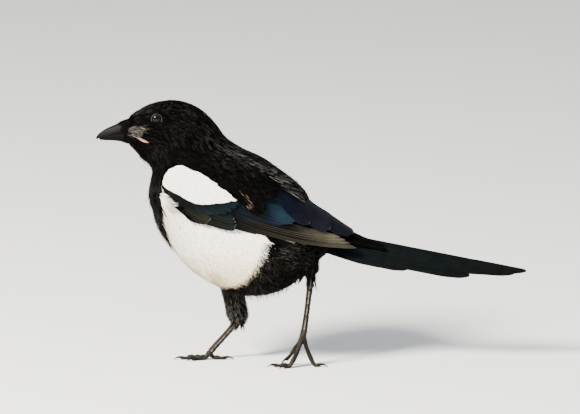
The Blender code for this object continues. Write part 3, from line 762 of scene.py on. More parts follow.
body_coat(
    "coat_back", (9.4, LAST_SECTION), 0.16, is_back, black_tints(0.35),
    ((9.0, 12.0), (18.0, 15.0)), ((9.0, 3.0), (18.0, 4.5)), profile="web",
)
body_coat(
    "loose_mantle", (8.7, 15.5), 0.07, is_back, loose_tints,
    ((7.0, 8.0), (10.0, 12.0), (16.0, 14.0)), ((7.0, 0.9), (16.0, 1.1)), turns=(-1.25, 1.25), proud=1.3,
)
body_coat(
    "coat_vent", (9.4, LAST_SECTION), 0.42, is_vent, black_tints(0.8),
    ((9.0, 9.0), (14.0, 12.0), (18.0, 13.0)), ((9.0, 1.2), (18.0, 1.0)), proud=2.2,
)
body_coat(
    "coat_belly", (6.0, LAST_SECTION), 0.42, is_white, white_tints,
    ((6.0, 8.0), (12.0, 11.0), (18.0, 11.0)), ((6.0, 1.6), (12.0, 2.2), (18.0, 1.8)),
    material=white_coat, proud=0.3, round_off=0.2, keel=0.1,
)


# %% Fine hair-like tips where white and black meet at the vent
def near_border(low, high):
    """Roots between two depths inside the white, in millimetres, on the hind part of the belly."""

    def wanted(root, turn):
        """Depth, x and z each within their limits."""
        depth = inside_white(root)
        return (depth > low) & (depth < high) & (root[:, 0] > -100.0) & (root[:, 2] < 126.0)

    return wanted


def is_low_white(root, turn):
    """White roots on the lowest part of the belly, in front of the thighs."""
    return (inside_white(root) > 0) & (root[:, 2] < 96.0) & (root[:, 0] > -100.0)


body_coat(
    "fringe_black", (11.0, LAST_SECTION), 1.7, near_border(-4.0, 3.5), black_tints(0.7),
    ((9.0, 8.0), (18.0, 9.0)), ((9.0, 0.34), (18.0, 0.34)), proud=1.6, spread=0.35,
)
body_coat(
    "fringe_white", (11.0, LAST_SECTION), 1.9, near_border(0.0, 5.0), white_tints,
    ((9.0, 8.0), (18.0, 8.0)), ((9.0, 0.38), (18.0, 0.38)),
    material=white_coat, proud=1.4, spread=0.35, round_off=0.3,
)
body_coat(
    "belly_wisps", (9.0, 14.0), 0.6, is_low_white, white_tints,
    ((9.0, 9.0), (14.0, 9.0)), ((9.0, 0.5), (14.0, 0.5)),
    material=white_coat, proud=4.0, sink=1.5, profile="lock", spread=0.5, fall=1.3,
)


# %% Long soft hairs on the throat and under the vent
def is_throat(root, turn):
    """Roots low on the front of the head and the neck."""
    return (root[:, 0] > -176.0) & (root[:, 0] < -138.0) & (root[:, 2] < 211.0) & (np.abs(turn) > 1.5)


def is_shaggy(root, turn):
    """Black roots low on the hind part of the body."""
    return (inside_white(root) < 0) & (root[:, 2] < 112.0) & (root[:, 0] > -100.0) & (np.abs(turn) > 1.2)


body_coat(
    "throat_hairs", (2.0, 9.0), 0.5, is_throat, black_tints(1.2, (0.11, 0.105, 0.092)),
    ((2.0, 4.5), (9.0, 6.5)), ((2.0, 0.4), (9.0, 0.5)), proud=2.6, spread=0.6, fall=-0.3,
)
body_coat(
    "vent_shag", (11.0, LAST_SECTION), 0.2, is_shaggy, black_tints(0.9),
    ((9.0, 11.0), (18.0, 13.0)), ((9.0, 1.6), (18.0, 1.4)),
    proud=3.0, sink=2.0, profile="lock", spread=0.3, fall=0.5,
)
body_coat(
    "vent_hairs", (11.0, LAST_SECTION), 0.22, is_shaggy, black_tints(1.2, (0.14, 0.125, 0.10)),
    ((9.0, 13.0), (18.0, 14.0)), ((9.0, 0.9), (18.0, 0.9)),
    proud=9.0, sink=2.0, profile="lock", spread=0.45, fall=0.35,
)

# %% [markdown]
# ## Thighs
#
# The thighs are feathered down to the heel joint. On the near side the thigh is only a swelling in
# the black of the flank. On the far side it hangs like a dark boot with a ragged cuff. A limb could
# be a curve with a bevel, but its section would stay round. Here each is a row of ovals with a
# depth and a width of their own, and the same function serves shanks, toes and claws further down.

# %% Limbs as a surface
# x, y, z of a limb's middle, its half depth and its half width
THIGH_LEFT = (
    (-60.0, -11.0, 126.0, 25.0, 15.0),
    (-42.0, -16.5, 117.0, 24.0, 15.5),
    (-22.0, -19.8, 110.0, 20.0, 14.0),
    (-8.0, -19.8, 103.5, 15.5, 11.5),
    (-2.6, -19.2, 96.5, 9.6, 8.6),
    (-1.6, -18.6, 91.0, 6.0, 6.0),
    (-1.3, -18.0, 87.5, 3.9, 4.0),
)
THIGH_RIGHT = (
    (-71.0, 20.0, 92.0, 16.0, 12.0),
    (-75.5, 19.5, 80.0, 13.5, 11.0),
    (-75.4, 19.0, 68.0, 10.8, 9.4),
    (-74.2, 18.6, 60.0, 9.9, 8.8),
    (-72.6, 18.3, 52.0, 9.9, 8.5),
    (-71.2, 18.0, 45.0, 10.0, 8.4),
    (-70.7, 18.0, 39.5, 8.6, 7.4),
    (-71.0, 18.0, 35.0, 6.0, 5.8),
)


def limb_surface(rows):
    """Ovals square to a curve: depth times the turn's cosine ahead, width times its sine across."""
    table = np.column_stack([np.linspace(0, 1, len(rows)), rows])
    whole = np.linalg.norm(table[-1, 1:4] - table[0, 1:4])

    def point(share, turn, lift=0.0):
        """The curve's spot, run straight on past its end, plus the oval."""
        share = np.asarray(share, float)
        held = np.clip(share, 0.0, 1.0)
        before, after = np.maximum(held - 0.01, 0.0), np.minimum(held + 0.01, 1.0)
        onward = unit((curve(table, after) - curve(table, before))[..., :3])
        values = curve(table, held)
        middle = values[..., :3] + onward * np.maximum(share - 1.0, 0.0)[..., None] * whole
        ahead = unit(np.cross(onward, (0.0, 1.0, 0.0)))
        across = np.cross(ahead, onward)
        turn, lift = np.asarray(turn), np.asarray(lift)
        depth = ((values[..., 3] + lift) * np.cos(turn))[..., None]
        width = ((values[..., 4] + lift) * np.sin(turn))[..., None]
        return middle + depth * ahead + width * across

    return point


def limb_rings(rows, count, around, lift=0.0):
    """The limb's surface on a grid of shares and turns."""
    return limb_surface(rows)(np.linspace(0, 1, count)[:, None], circle(around)[None], lift)


print("thighs of", len(THIGH_LEFT), "and", len(THIGH_RIGHT), "rows")


# %% Feather a limb
def black_core(name, rows, count, around):
    """A closed black skin, a millimetre inside the limb's surface."""
    core = tube(name, limb_rings(rows, count, around, -1.0), skin_look)
    add_values(core, "tint", np.tile(BLACK, (len(core.data.vertices), 1)))
    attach(core, "root")
    return core


def limb_coat(name, rows, shares, density, colours, sizes, **shape):
    """Scatters roots over the limb and grows tufts whose sizes are a function of their share and count."""
    surface = limb_surface(rows)
    u, v = scattered(surface, shares, FULL_TURN, density)
    tints = colours(surface(u, v), len(u))
    coat_piece(name, surface, u, v, (shares, FULL_TURN), tints, black_coat, **sizes(u, len(u)), **shape)


def thigh_tufts(u, count):
    """Shorter and narrower towards the heel, and standing out more."""
    return {
        "length": (10.0 - 5.5 * u) * varied(count, 0.25),
        "width": (1.3 - 0.4 * u) * varied(count, 0.15),
        "veer": 0.16 * rng.standard_normal(count),
        "proud": (0.4 + 1.6 * rng.random(count)) * (0.6 + u),
    }


for side_name, rows in (("left", THIGH_LEFT), ("right", THIGH_RIGHT)):
    thigh = black_core(f"skin_thigh_{side_name}", rows, 40, 40)
    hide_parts(f"thigh_{side_name}")
    # Brown grey thigh tips: partly wear, partly a painted highlight of sunlit feathers.
    worn = black_tints(2.2, (0.075, 0.072, 0.062))
    limb_coat(f"coat_thigh_{side_name}", rows, (0.12, 0.985), 0.7, worn, thigh_tufts)

# %% [markdown]
# ## Long feathers
#
# A flight feather is a stiff vane: a shaft, and on each side a web of barbs that slant towards the
# tip. Flat cards would be quick, but they vanish when seen from their edge, so each is a thin closed
# grid. The barbs are far finer than a millimetre, so they are stripes in the material, which the
# vane's own length and width in millimetres keep at one spacing everywhere.


# %% The finish of a glossy vane
def vane_look(w):
    """The web's colour times a shade from barbs, grooves and clumps, under a rim, with a dark shaft.

    Along and across are millimetres from the root and from the shaft, so slanted barbs are a sine of
    along less 1.1 across.
    """
    lean, half_width, reach = w.value("lean"), w.value("half_width"), w.value("reach")
    across, along = w.math("ABSOLUTE", lean) * half_width, reach * w.value("size")
    barbs = w.math("SINE", (along - across * 1.1) * 15.0) * 0.5 + 0.5
    spot = w.node("ShaderNodeCombineXYZ", {}, {0: along * 0.03, 1: lean * half_width})
    grooves = w.node("ShaderNodeTexNoise", {}, {0: spot, 2: 1.6, 3: 4.0})
    clumps = w.noise(1300.0, 3.0)
    broad = w.noise(110.0, 2.0)
    from_side = half_width - across
    from_tip = w.value("size") - along
    beside = (1 - from_side.eased(0.1, 0.5)) * w.value("side_rim") * reach.eased(0.0, 0.6)
    rim = w.math("MAXIMUM", beside, 1 - from_tip.eased(0.2, 1.2)) * w.value("rim")
    shaft = 1 - across.eased(0.12, 0.4)
    web = reach.eased(0.55, 1.0).mixed(w.colour("web"), w.colour("tip"))
    shade = barbs * 0.06 + clumps * 0.2 + grooves.eased(0.35, 0.65) * 0.44 + broad.eased(0.3, 0.7) * 0.3
    shade = shade.mixed((0.5,) * 3, (1.5,) * 3)
    lit = rim.mixed(shade.times(web), w.colour("edge"))
    return {
        "Base Color": (shaft * 0.5).mixed(lit, (0.004, 0.0036, 0.003)),
        "Roughness": clumps * 0.2 + 0.34,
        "Normal": w.bump(barbs * 0.3 + shaft + grooves, 0.25, 0.0002),
    }


vane_finish = finish("glossy_vane", vane_look, Specular_IOR_Level=0.04)
print("vane finish:", len(vane_finish.node_tree.nodes), "nodes")

# %% Shape of the vanes
# reach from root to tip, half width as a share of the widest
LONG_VANE = ((0.0, 0.45), (0.3, 0.85), (0.62, 1.0), (0.84, 0.88), (0.94, 0.62), (0.985, 0.3), (1.0, 0.1))
SHORT_VANE = ((0.0, 0.6), (0.45, 1.0), (0.78, 0.88), (0.92, 0.58), (0.98, 0.28), (1.0, 0.1))
LEANS = np.array([-1.0, -0.86, -0.5, -0.12, 0.0, 0.12, 0.5, 0.86, 1.0])


def vane_grid(place, middles, acrosses, lifts, thickness, camber, lean_lift):
    """Over the grid of reach and lean: a spot on the surface, lifted in the middle and on its upper side."""
    spots = middles[:, :, None] + acrosses[:, :, None] * LEANS[:, None]
    rise = lifts[..., None] + camber * (1 - LEANS**2) - lean_lift * LEANS
    taper = thickness / 2 * (1 - 0.7 * np.abs(LEANS) ** 3)
    along, height = spots[..., 0], spots[..., 1]
    return place(along, height, rise + taper), place(along, height, rise - taper)


def vane_faces(count, rows, columns):
    """Both faces of every vane as quads, and a rim between them."""
    i, j = np.meshgrid(np.arange(rows - 1), np.arange(columns - 1), indexing="ij")
    a = i * columns + j
    top = np.stack([a, a + 1, a + columns + 1, a + columns], -1).reshape(-1, 4)
    plate = rows * columns
    under = top[:, ::-1] + plate
    edge = np.concatenate(
        [
            np.arange(columns),
            np.arange(1, rows) * columns + columns - 1,
            (rows - 1) * columns + np.arange(columns - 2, -1, -1),
            np.arange(rows - 2, 0, -1) * columns,
        ]
    )
    ahead = np.roll(edge, -1)
    rim = np.stack([edge, edge + plate, ahead + plate, ahead], -1)
    own = np.concatenate([top, under, rim])
    is_rim = np.concatenate([np.zeros(len(top) + len(under), bool), np.ones(len(rim), bool)])
    first = np.arange(count)[:, None, None] * plate * 2
    return (first + own).reshape(-1, 4), np.tile(np.repeat(is_rim, 4), count), plate


print("points across a vane:", len(LEANS))


# %% Join vanes to one piece
def vane_piece(name, upper, lower, reach, values):
    """Joins vanes to one mesh, with their values and a strip of the map for each face of each vane."""
    count, rows, columns = upper.shape[:3]
    faces, on_rim, plate = vane_faces(count, rows, columns)
    points = np.stack([upper, lower], 1)
    piece = mesh_piece(name, points, [faces], vane_finish)
    grid = (count, 2, rows, columns)
    add_values(piece, "lean", np.broadcast_to(LEANS, grid).ravel())
    add_values(piece, "reach", np.broadcast_to(reach[:, None], grid).ravel())
    for key, value in values.items():
        value = np.asarray(value, float)
        colour = value.shape[1:]
        flat = np.broadcast_to(value.reshape((count, 1, 1, 1) + colour), grid + colour)
        add_values(piece, key, flat.reshape((-1,) + colour))
    wide = math.ceil(math.sqrt(count * 2) * 2.2)
    high = math.ceil(count * 2 / wide)
    strip = np.arange(count * 2)
    home = np.stack([strip % wide, strip // wide], -1) / [wide, high]
    size = 0.86 / np.array([wide, high])
    local = np.stack(np.broadcast_arrays(LEANS * 0.5 + 0.5, reach[:, None]), -1)
    inner = home[:, None, None] + (0.08 + local * 0.92) * size
    outer = home[:, None, None] + (0.54 + (local - 0.5) * 1.04) * size
    inner, outer = inner.reshape(-1, 2), outer.reshape(-1, 2)
    index = corner_points(piece)
    is_low = (index // plate) % 2 == 1
    places = np.where((on_rim & is_low)[:, None], outer[np.where(is_low, index - plate, index)], inner[index])
    add_map(piece, "OFBake", places)
    piece.data.set_sharp_from_angle(angle=math.radians(50))
    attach(piece, "root")
    print(name, "vanes:", count, "triangles:", len(faces) * 2)
    return piece


print("vanes take the", vane_finish.name, "finish")

# %% [markdown]
# ## The folded wing
#
# From below upwards: long primaries in a narrow stack, the secondaries that make the blue-green
# panel, broad tertials over them, then the coverts in rows like tiles, the alula, and the scapulars
# that fall from the shoulder. Each row of the table is one tier, as in a real folded wing. Single
# feathers could be placed by hand, but a tier gives only its first and its last, and its fan between
# them is even, as a real one's is.

# %% Tiers of the wing
# kind: count, first and last root, first and last tip, bulge of the row of tips, width, lift at the
# root and at the tip, rise from feather to feather, lean, all in the wing's own frame
WING_TIERS = {
    "primary": (9, (48, -16.2), (56, 1), (165, -3.0), (170, 5.4), (0, 0), 7.6, -6.4, -6.2, 0.4, 0.5),
    "secondary": (8, (40, -3), (50, 24), (112, 1.0), (131, 12.0), (2, -1.5), 9.5, -3.9, -3.2, 0.3, 0.4),
    "tertial": (3, (92, 30), (88, 38), (183, 9.6), (140, 8.0), (0, 0), 19.0, -0.9, -0.8, 0.7, 0.0),
    "primary_covert": (5, (27, -17.5), (36, -4), (73, -16.6), (70, -6.0), (2, 0), 8.5, -4.4, -1.8, 0.25, 0.5),
    "alula": (3, (8, -9), (14, -5), (47, -18.5), (49, -14.5), (0, 0), 10.0, -3.6, -0.9, 0.35, 0.4),
    "greater_covert": (8, (8, -3), (46, 20), (34, -7.5), (70, 9), (7, -5), 10.5, -2.6, 0.0, 0.2, 0.5),
    "median_covert": (7, (0, 2), (36, 20), (20, -5), (54, 11), (5, -3), 9.0, -2.4, 0.7, 0.1, 0.4),
}
print("tiers of the wing:", ", ".join(WING_TIERS))

# %% Colours of the tiers
# kind: web and tip of the lowest feather, web and tip of the highest, edge, how much of the edge shows
WING_COLOURS = {
    # The lowest primaries stay near black: painted shade along the folded wing's lower edge.
    "primary": (
        ((0.0014, 0.0013, 0.0010), (0.003, 0.0026, 0.0017)),
        ((0.0020, 0.0018, 0.0013), (0.052, 0.048, 0.032)), (0.085, 0.070, 0.046), 0.55,
    ),
    "secondary": (
        ((0.0011, 0.0012, 0.0014), (0.0022, 0.0030, 0.0042)),
        ((0.0028, 0.0068, 0.0098), (0.0078, 0.0215, 0.0295)), (0.0065, 0.0100, 0.0330), 0.75,
    ),
    "tertial": (
        ((0.0018, 0.0021, 0.0046), (0.0042, 0.0044, 0.0068)),
        ((0.0018, 0.0023, 0.0060), (0.0040, 0.0040, 0.0062)), (0.0120, 0.0360, 0.0400), 0.9,
    ),
    "primary_covert": (
        ((0.0016, 0.0018, 0.0016), (0.0036, 0.0048, 0.0046)),
        ((0.0018, 0.0021, 0.0019), (0.0040, 0.0054, 0.0052)), (0.0500, 0.0680, 0.0660), 0.9,
    ),
    "alula": (
        ((0.0018, 0.0017, 0.0013), (0.0062, 0.0056, 0.0036)),
        ((0.0028, 0.0026, 0.0019), (0.0068, 0.0062, 0.0040)), (0.0700, 0.0660, 0.0480), 0.9,
    ),
    "greater_covert": (
        ((0.0011, 0.0014, 0.0016), (0.0030, 0.0056, 0.0064)),
        ((0.0012, 0.0028, 0.0038), (0.0022, 0.0066, 0.0088)), (0.0050, 0.0150, 0.0185), 0.4,
    ),
    "median_covert": (
        ((0.0009, 0.0010, 0.0011), (0.0011, 0.0014, 0.0017)),
        ((0.0011, 0.0018, 0.0024), (0.0018, 0.0040, 0.0054)), (0.0030, 0.0080, 0.0100), 0.3,
    ),
}
SIDE_RIMS = {"secondary": 1.0, "primary": 1.0}  # how much of the rim runs along the feather's sides
FEW_SIDE_RIMS = 0.25
print("colours for", len(WING_COLOURS), "tiers")

# %% Lay out one tier
LONG_KINDS = ("primary", "secondary", "tertial")
ROOT_ERROR, TIP_ERROR = 0.25, 0.35  # millimetres by which a feather's ends miss their even places
# place in the tier from 0 to 1, millimetres that the primary there reaches further
PRIMARY_REACH = ((0.0, 0.0), (0.2, 17.0), (0.4, 22.0), (0.6, 20.0), (0.8, 12.0), (1.0, 2.0))


def wing_tier(name, side, kind):
    """Each feather runs from root to tip with a slight bow, and its lift eases up from the root."""
    count, root_a, root_b, tip_a, tip_b, bulge, width, root_lift, lift, rise, lean = WING_TIERS[kind]
    share = np.linspace(0, 1, count)[:, None]
    root = between(root_a, root_b, share)
    tip = between(tip_a, tip_b, share) + np.sin(math.pi * share) * bulge
    if kind == "primary":
        tip = tip + curve(PRIMARY_REACH, share[:, 0]) * (1.0, -0.16)
    root = root + rng.normal(0, ROOT_ERROR, root.shape)
    tip = tip + rng.normal(0, TIP_ERROR, tip.shape)
    shape = LONG_VANE if kind in LONG_KINDS else SHORT_VANE
    rows = 22 if kind in LONG_KINDS else 14
    reach = 1 - (1 - np.linspace(0, 1, rows)) ** 1.5
    profile = np.interp(reach, *zip(*shape))
    way = tip - root
    size = np.linalg.norm(way, axis=1)
    square = np.stack([-way[:, 1], way[:, 0]], -1) / size[:, None]
    bend = -0.02 if kind == "primary" else 0.015
    bow = (bend * size[:, None] * np.sin(math.pi * reach))[..., None] * square[:, None]
    middles = root[:, None] + way[:, None] * reach[:, None] + bow
    widths = width * varied(count, 0.03)
    acrosses = square[:, None] * (widths[:, None] / 2 * profile)[..., None]
    steps = (rise * np.arange(count))[:, None]
    lifts = root_lift + (lift - root_lift) * eased(reach / 0.4) + steps
    sizes = {"thickness": 0.4, "camber": 0.35, "lean_lift": lean}
    upper, lower = vane_grid(lambda *spot: wing_point(side, *spot), middles, acrosses, lifts, **sizes)
    if side < 0:
        upper, lower = lower, upper
    lowest, highest, edge, rim = WING_COLOURS[kind]
    shade = varied(count, 0.12)[:, None]
    webs, tips = (between(low, high, share) for low, high in zip(lowest, highest))
    values = {
        "web": webs * shade,
        "tip": tips * shade,
        "edge": np.array(edge) * shade,
        "rim": np.full(count, rim),
        "side_rim": np.full(count, SIDE_RIMS.get(kind, FEW_SIDE_RIMS)),
        "size": size,
        "half_width": widths / 2,
    }
    vane_piece(name, upper, lower, reach, values)


print("the longest primary reaches", max(row[1] for row in PRIMARY_REACH), "mm further than its row")

# %% Outlines of the shoulder's white and black, in the wing's frame
WHITE_PATCH = (
    (8.6, 26.7), (2.2, 23.6), (-2.9, 18.9), (-4.5, 12.4), (-4.8, 6.4), (-3.5, 3.2), (0.0, 2.1),
    (10.4, 1.3), (20.1, -1.3), (29.1, -1.9), (36.8, -1.8), (45.2, 1.8), (56.4, 6.3), (69.8, 12.3),
    (62.1, 14.9), (54.9, 17.4), (45.5, 21.0), (33.2, 24.0), (19.1, 26.6),
)
BLACK_SHOULDER = (
    (-4.0, 22.0), (8.6, 26.7), (33.2, 24.0), (54.9, 17.4), (67.3, 12.4), (75.0, 8.4), (85.2, 5.5),
    (93.6, 3.2), (97.0, 6.0), (95.5, 18.0), (101.1, 20.3), (104.0, 27.0), (112.0, 33.0), (90.0, 44.0),
    (60.0, 50.0), (30.0, 54.0), (0.0, 50.0),
)
LOOSE_BACK = (
    (40, 56), (66, 52), (88, 46), (110, 39), (137, 25), (136, 20), (112, 26), (92, 37), (70, 44),
    (50, 49),
)
FRONT_EDGE = (
    (-3.0, 3.0), (3.0, 0.5), (7.0, -2.5), (13.2, -9.4), (20.0, -15.4), (31.0, -21.5), (34.0, -17.0),
    (26.0, -10.0), (16.0, -4.0), (6.0, 2.5),
)
FLANK_TUFT = (
    (-4.0, -3.5), (-1.0, -5.0), (3.0, -6.2), (8.0, -7.4), (14.0, -8.6), (15.0, -11.0), (13.0, -14.5),
    (3.0, -18.0), (-3.0, -10.0),
)
WORN_STREAK = ((64, 21), (70, 22), (88, 7.5), (82, 4.0))
print("outlines of", len(WHITE_PATCH), "and", len(BLACK_SHOULDER), "points")

# %% Which way the shoulder's feathers lie, and the colours of its worn and thin ones
# place along the wing, direction in degrees at the lower edge and 20 mm above it
WHITE_LIE = (
    (-5.0, -12.0, 10.0),
    (8.0, -8.0, -6.0),
    (30.0, -1.0, -18.0),
    (48.0, 18.0, -19.0),
    (67.0, 20.0, -19.0),
)
BLACK_LIE = ((-4.0, -10.0, -10.0), (30.0, -18.0, -20.0), (70.0, -24.0, -22.0), (112.0, -30.0, -22.0))
FRONT_LIE = ((-3.0, -35.0, -20.0), (14.0, -40.0, -20.0), (34.0, -20.0, -10.0))
WORN_LIE = ((64.0, -38.0, -34.0), (90.0, -42.0, -38.0))
FLANK_LIE = ((-9.0, 8.0, 0.0), (16.0, 14.0, 10.0))
BACK_LIE = ((30.0, -20.0, -16.0), (90.0, -26.0, -26.0), (137.0, -34.0, -30.0))


def greying_tints(root, count):
    """White at the root, darkened at the tip by up to 0.85 as x runs back over the thin down."""
    base = WHITE * varied(count, 0.05)[:, None]
    thin = eased((root[:, 0] + 147.0) / 10.0)[:, None]
    return base * (1 - 0.25 * thin), base * (1 - 0.85 * thin)


# from dark brown to a pinkish buff
worn_tints = faded_tints(2.2, (0.002, 0.0016, 0.0014), (0.19, 0.13, 0.105), 0.7)
print("lies for", len(WHITE_LIE), "places along the white patch")

# %% The arm under the shoulder's feathers
# place along the wing, its lower edge and its upper edge
ARM_OUTLINE = (
    (-2.0, -1.0, 8.0),
    (4.0, -7.5, 24.0),
    (15.0, -13.4, 31.0),
    (32.0, -22.6, 34.0),
    (50.0, -20.6, 36.0),
    (76.0, -16.8, 39.0),
)
ARM_START, ARM_LENGTH = -2.0, 70.0
ARM_SLANT = 26.0  # how much further its upper edge runs
ARM_INNER_LIFT = -9.0


def arm_rings(side, rings=60, rows=36):
    """Strips from the arm's lower to its upper edge, the outer face lifted above a lower inner one.

    The outer face sinks under the coverts behind, less so along the top, and into the breast in front.
    """
    share = np.linspace(0.0, 1.0, rings)[:, None]
    base = ARM_START + ARM_LENGTH * share
    low, high = np.moveaxis(curve(ARM_OUTLINE, base), -1, 0)
    heights = low + (high - low) * np.linspace(0, 1, rows)
    along = base + ARM_SLANT * share**2 * eased((heights - low) / (high - low))
    lift = -3.0 + 1.5 * eased((heights + 6.0) / 9.0)
    lift = lift - 3.2 * eased((along - 40.0) / 16.0) * (1 - 0.75 * eased((heights - 12.0) / 10.0))
    lift = lift - 4.5 * (1 - eased(share / 0.16))
    outer = wing_point(side, along, heights, lift)
    inner = wing_point(side, along, heights, ARM_INNER_LIFT)
    return np.concatenate([outer, inner[:, ::-1]], axis=1), along, heights


print("the arm is", ARM_LENGTH, "mm long at its lower edge and", ARM_LENGTH + ARM_SLANT, "at its upper")


# %% A coat on the shoulder
def shoulder_coat(name, side, outline, density, length, width, lie, lift, colours, material, stray):
    """Tufts rooted in the outline whose tips stay in it, laid on the wing's tunnel above the coverts.

    lie gives their direction for some places along the wing, lift how high they lie, and stray how
    far a tip may stray over the outline.
    """
    white = material is white_coat

    def surface(along, height, rise):
        """The tunnel, lifted where the shoulder is full and sunk where it meets the body."""
        full = eased((along + 8.0) / 14.0) * (1 - 0.85 * eased((height - 34.0) / 16.0))
        return wing_point(side, along, height, rise + lift * full - 2.0 * (1 - full))

    spans = tuple(zip(np.min(outline, axis=0), np.max(outline, axis=0)))
    u, v = scattered(surface, *spans, density)
    size = length * varied(len(u), 0.14)
    low, high = curve(lie, u).T
    angle = np.radians(low + (high - low) * eased(v / 20.0)) + 0.08 * rng.standard_normal(len(u))
    wild_u, wild_v = stray * rng.standard_normal((2, len(u)))
    tip_u, tip_v = u + size * np.cos(angle) * 0.97 + wild_u, v + size * np.sin(angle) * 0.97 + wild_v
    keep = inside(outline, u, v) & inside(outline, tip_u, tip_v)
    u, v = u[keep], v[keep]
    count = len(u)
    shape = {"profile": "web", "keel": 0.1, "round_off": 0.2 if white else 0.5}
    tints = colours(wing_point(side, u, v, 0.0), count)
    shape["length"] = size[keep]
    shape["width"] = width * varied(count, 0.12)
    shape["veer"] = angle[keep]
    shape["proud"] = (0.35 if white else 0.8) * rng.random(count)
    coat_piece(name, surface, u, v, spans, tints, material, **shape)


# outline, tufts on a square millimetre, length, width, lie, lift, colours, finish, stray
SHOULDER_COATS = {
    "white_shoulder": (WHITE_PATCH, 1.7, 9.5, 2.3, WHITE_LIE, 1.9, white_tints, white_coat, 0.25),
    "black_shoulder": (BLACK_SHOULDER, 0.5, 13.0, 3.0, BLACK_LIE, 2.6, black_tints(0.3), black_coat, 0.7),
    "loose_back": (LOOSE_BACK, 0.24, 15.0, 0.7, BACK_LIE, 3.2, loose_tints, black_coat, 2.5),
    "front_edge": (FRONT_EDGE, 1.2, 6.0, 1.8, FRONT_LIE, -0.6, black_tints(0.1), black_coat, 0.4),
    "flank_tuft": (FLANK_TUFT, 2.2, 8.0, 0.7, FLANK_LIE, 0.6, greying_tints, white_coat, 2.2),
    "worn_tufts": (WORN_STREAK, 0.3, 6.5, 0.42, WORN_LIE, 3.4, worn_tints, black_coat, 0.8),
}
print("coats of the shoulder:", ", ".join(SHOULDER_COATS))

# %% Build both wings
for side_name, side in SIDES.items():
    rings, arm_along, arm_up = arm_rings(side)
    arm = tube(f"arm_{side_name}", rings, skin_look, flip=side > 0)
    in_white = inside(WHITE_PATCH, arm_along, arm_up)
    arm_tint = np.where(in_white[..., None], WHITE * 0.95, BLACK)
    arm_tint = np.concatenate([arm_tint, arm_tint * 0 + BLACK], axis=1)
    add_values(arm, "tint", arm_tint.reshape(-1, 3))
    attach(arm, "root")
    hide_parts(f"wing_{side_name}")
    for kind in WING_TIERS:
        wing_tier(f"{kind}s_{side_name}", side, kind)
    for kind, row in SHOULDER_COATS.items():
        shoulder_coat(f"{kind}_{side_name}", side, *row)

# %% [markdown]
# ## The tail
#
# The tail is a roof: its two halves fall away from a ridge, the longest pair of feathers on top and
# each pair below shorter and further out, so that their tips make steps along the lower edge. A
# modifier could mirror one half, but the two slopes differ, as the bird carries its tail rolled
# towards one side, so each side gets a pitch of its own.

# %% Form of the tail
TAIL_ROOT = (-10.0, 133.6)
TAIL_SLOPE = math.radians(-11.3)
TAIL_PITCH = math.radians(46.0)
TAIL_ROLL = math.radians(10.0)
# each feather's length, how far down its slope of the roof it lies at root, middle and tip, half width
TAIL_FEATHERS = (
    (218.0, 3.4, 6.4, 1.4, 8.4),
    (206.0, 6.5, 9.0, 6.2, 7.8),
    (186.0, 8.0, 10.8, 8.4, 7.8),
    (163.0, 9.5, 13.8, 16.3, 8.6),
    (105.0, 11.0, 16.6, 20.0, 8.4),
    (90.0, 12.5, 17.2, 20.0, 7.8),
)
TAIL_LAYER = 0.95  # how far each feather lies under the one above it
TAIL_GREEN = np.array([0.0016, 0.0025, 0.0026])
TAIL_VIOLET = np.array([0.0022, 0.0020, 0.0022])
TAIL_EDGE = np.array([0.004, 0.0062, 0.0065])


def tail_point(side, along, across, lift):
    """From the tail's root: along its ridge, then down one slope of the roof, then square off that slope."""
    pitch = TAIL_PITCH - side * TAIL_ROLL
    out = np.array([0.0, side * math.cos(pitch), -math.sin(pitch)])
    up = np.array([0.0, side * math.sin(pitch), math.cos(pitch)])
    onward = np.array([math.cos(TAIL_SLOPE), 0.0, math.sin(TAIL_SLOPE)])
    start = np.array([TAIL_ROOT[0], 0.0, TAIL_ROOT[1]])
    along, across, lift = (np.asarray(v)[..., None] for v in np.broadcast_arrays(along, across, lift))
    return start + along * onward + across * out + lift * up


print("tail of", TAIL_FEATHERS[0][0], "mm,", 2 * len(TAIL_FEATHERS), "feathers")

# %% Build the tail
for side_name, side in SIDES.items():
    reach = 1 - (1 - np.linspace(0, 1, 30)) ** 1.5
    profile = np.interp(reach, *zip(*LONG_VANE))
    table = np.array(TAIL_FEATHERS)
    size, half = table[:, 0], table[:, 4]
    quills = np.stack([curve(((0.0, r[1]), (0.5, r[2]), (1.0, r[3])), reach)[:, 0] for r in table])
    middles = np.stack([size[:, None] * reach, quills], -1)
    acrosses = np.stack([0 * quills, half[:, None] * profile], -1)
    layers = TAIL_LAYER * np.arange(len(table))[:, None] + 0 * quills
    inmost = layers[:, :1] * math.tan(TAIL_PITCH - side * TAIL_ROLL) + 0.02

    def place(along, across, rise):
        """A spot on the slope, never past the ridge."""
        return tail_point(side, along, np.maximum(across, inmost[..., None]), rise)

    sizes = {"thickness": 0.45, "camber": 0.3, "lean_lift": 0.0}
    upper, lower = vane_grid(place, middles, acrosses, -layers, **sizes)
    if side > 0:
        upper, lower = lower, upper
    shade = varied(len(table), 0.1)[:, None]
    values = {
        "web": TAIL_GREEN * shade,
        "tip": TAIL_VIOLET * shade,
        "edge": TAIL_EDGE * shade,
        "rim": np.full(len(table), 0.6),
        "side_rim": np.full(len(table), 0.5),
        "size": size,
        "half_width": half,
    }
    tail = vane_piece(f"tail_{side_name}", upper, lower, reach, values)
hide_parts("tail")

# %% [markdown]
# ## Feathers over and under the root of the tail
#
# Short black coverts bridge the step from the rump to the tail, above and below. The skin could be
# drawn out along the tail instead, but one cone above the tail's root and one below it are simpler,
# and the coverts grow from them as tufts do from a thigh.

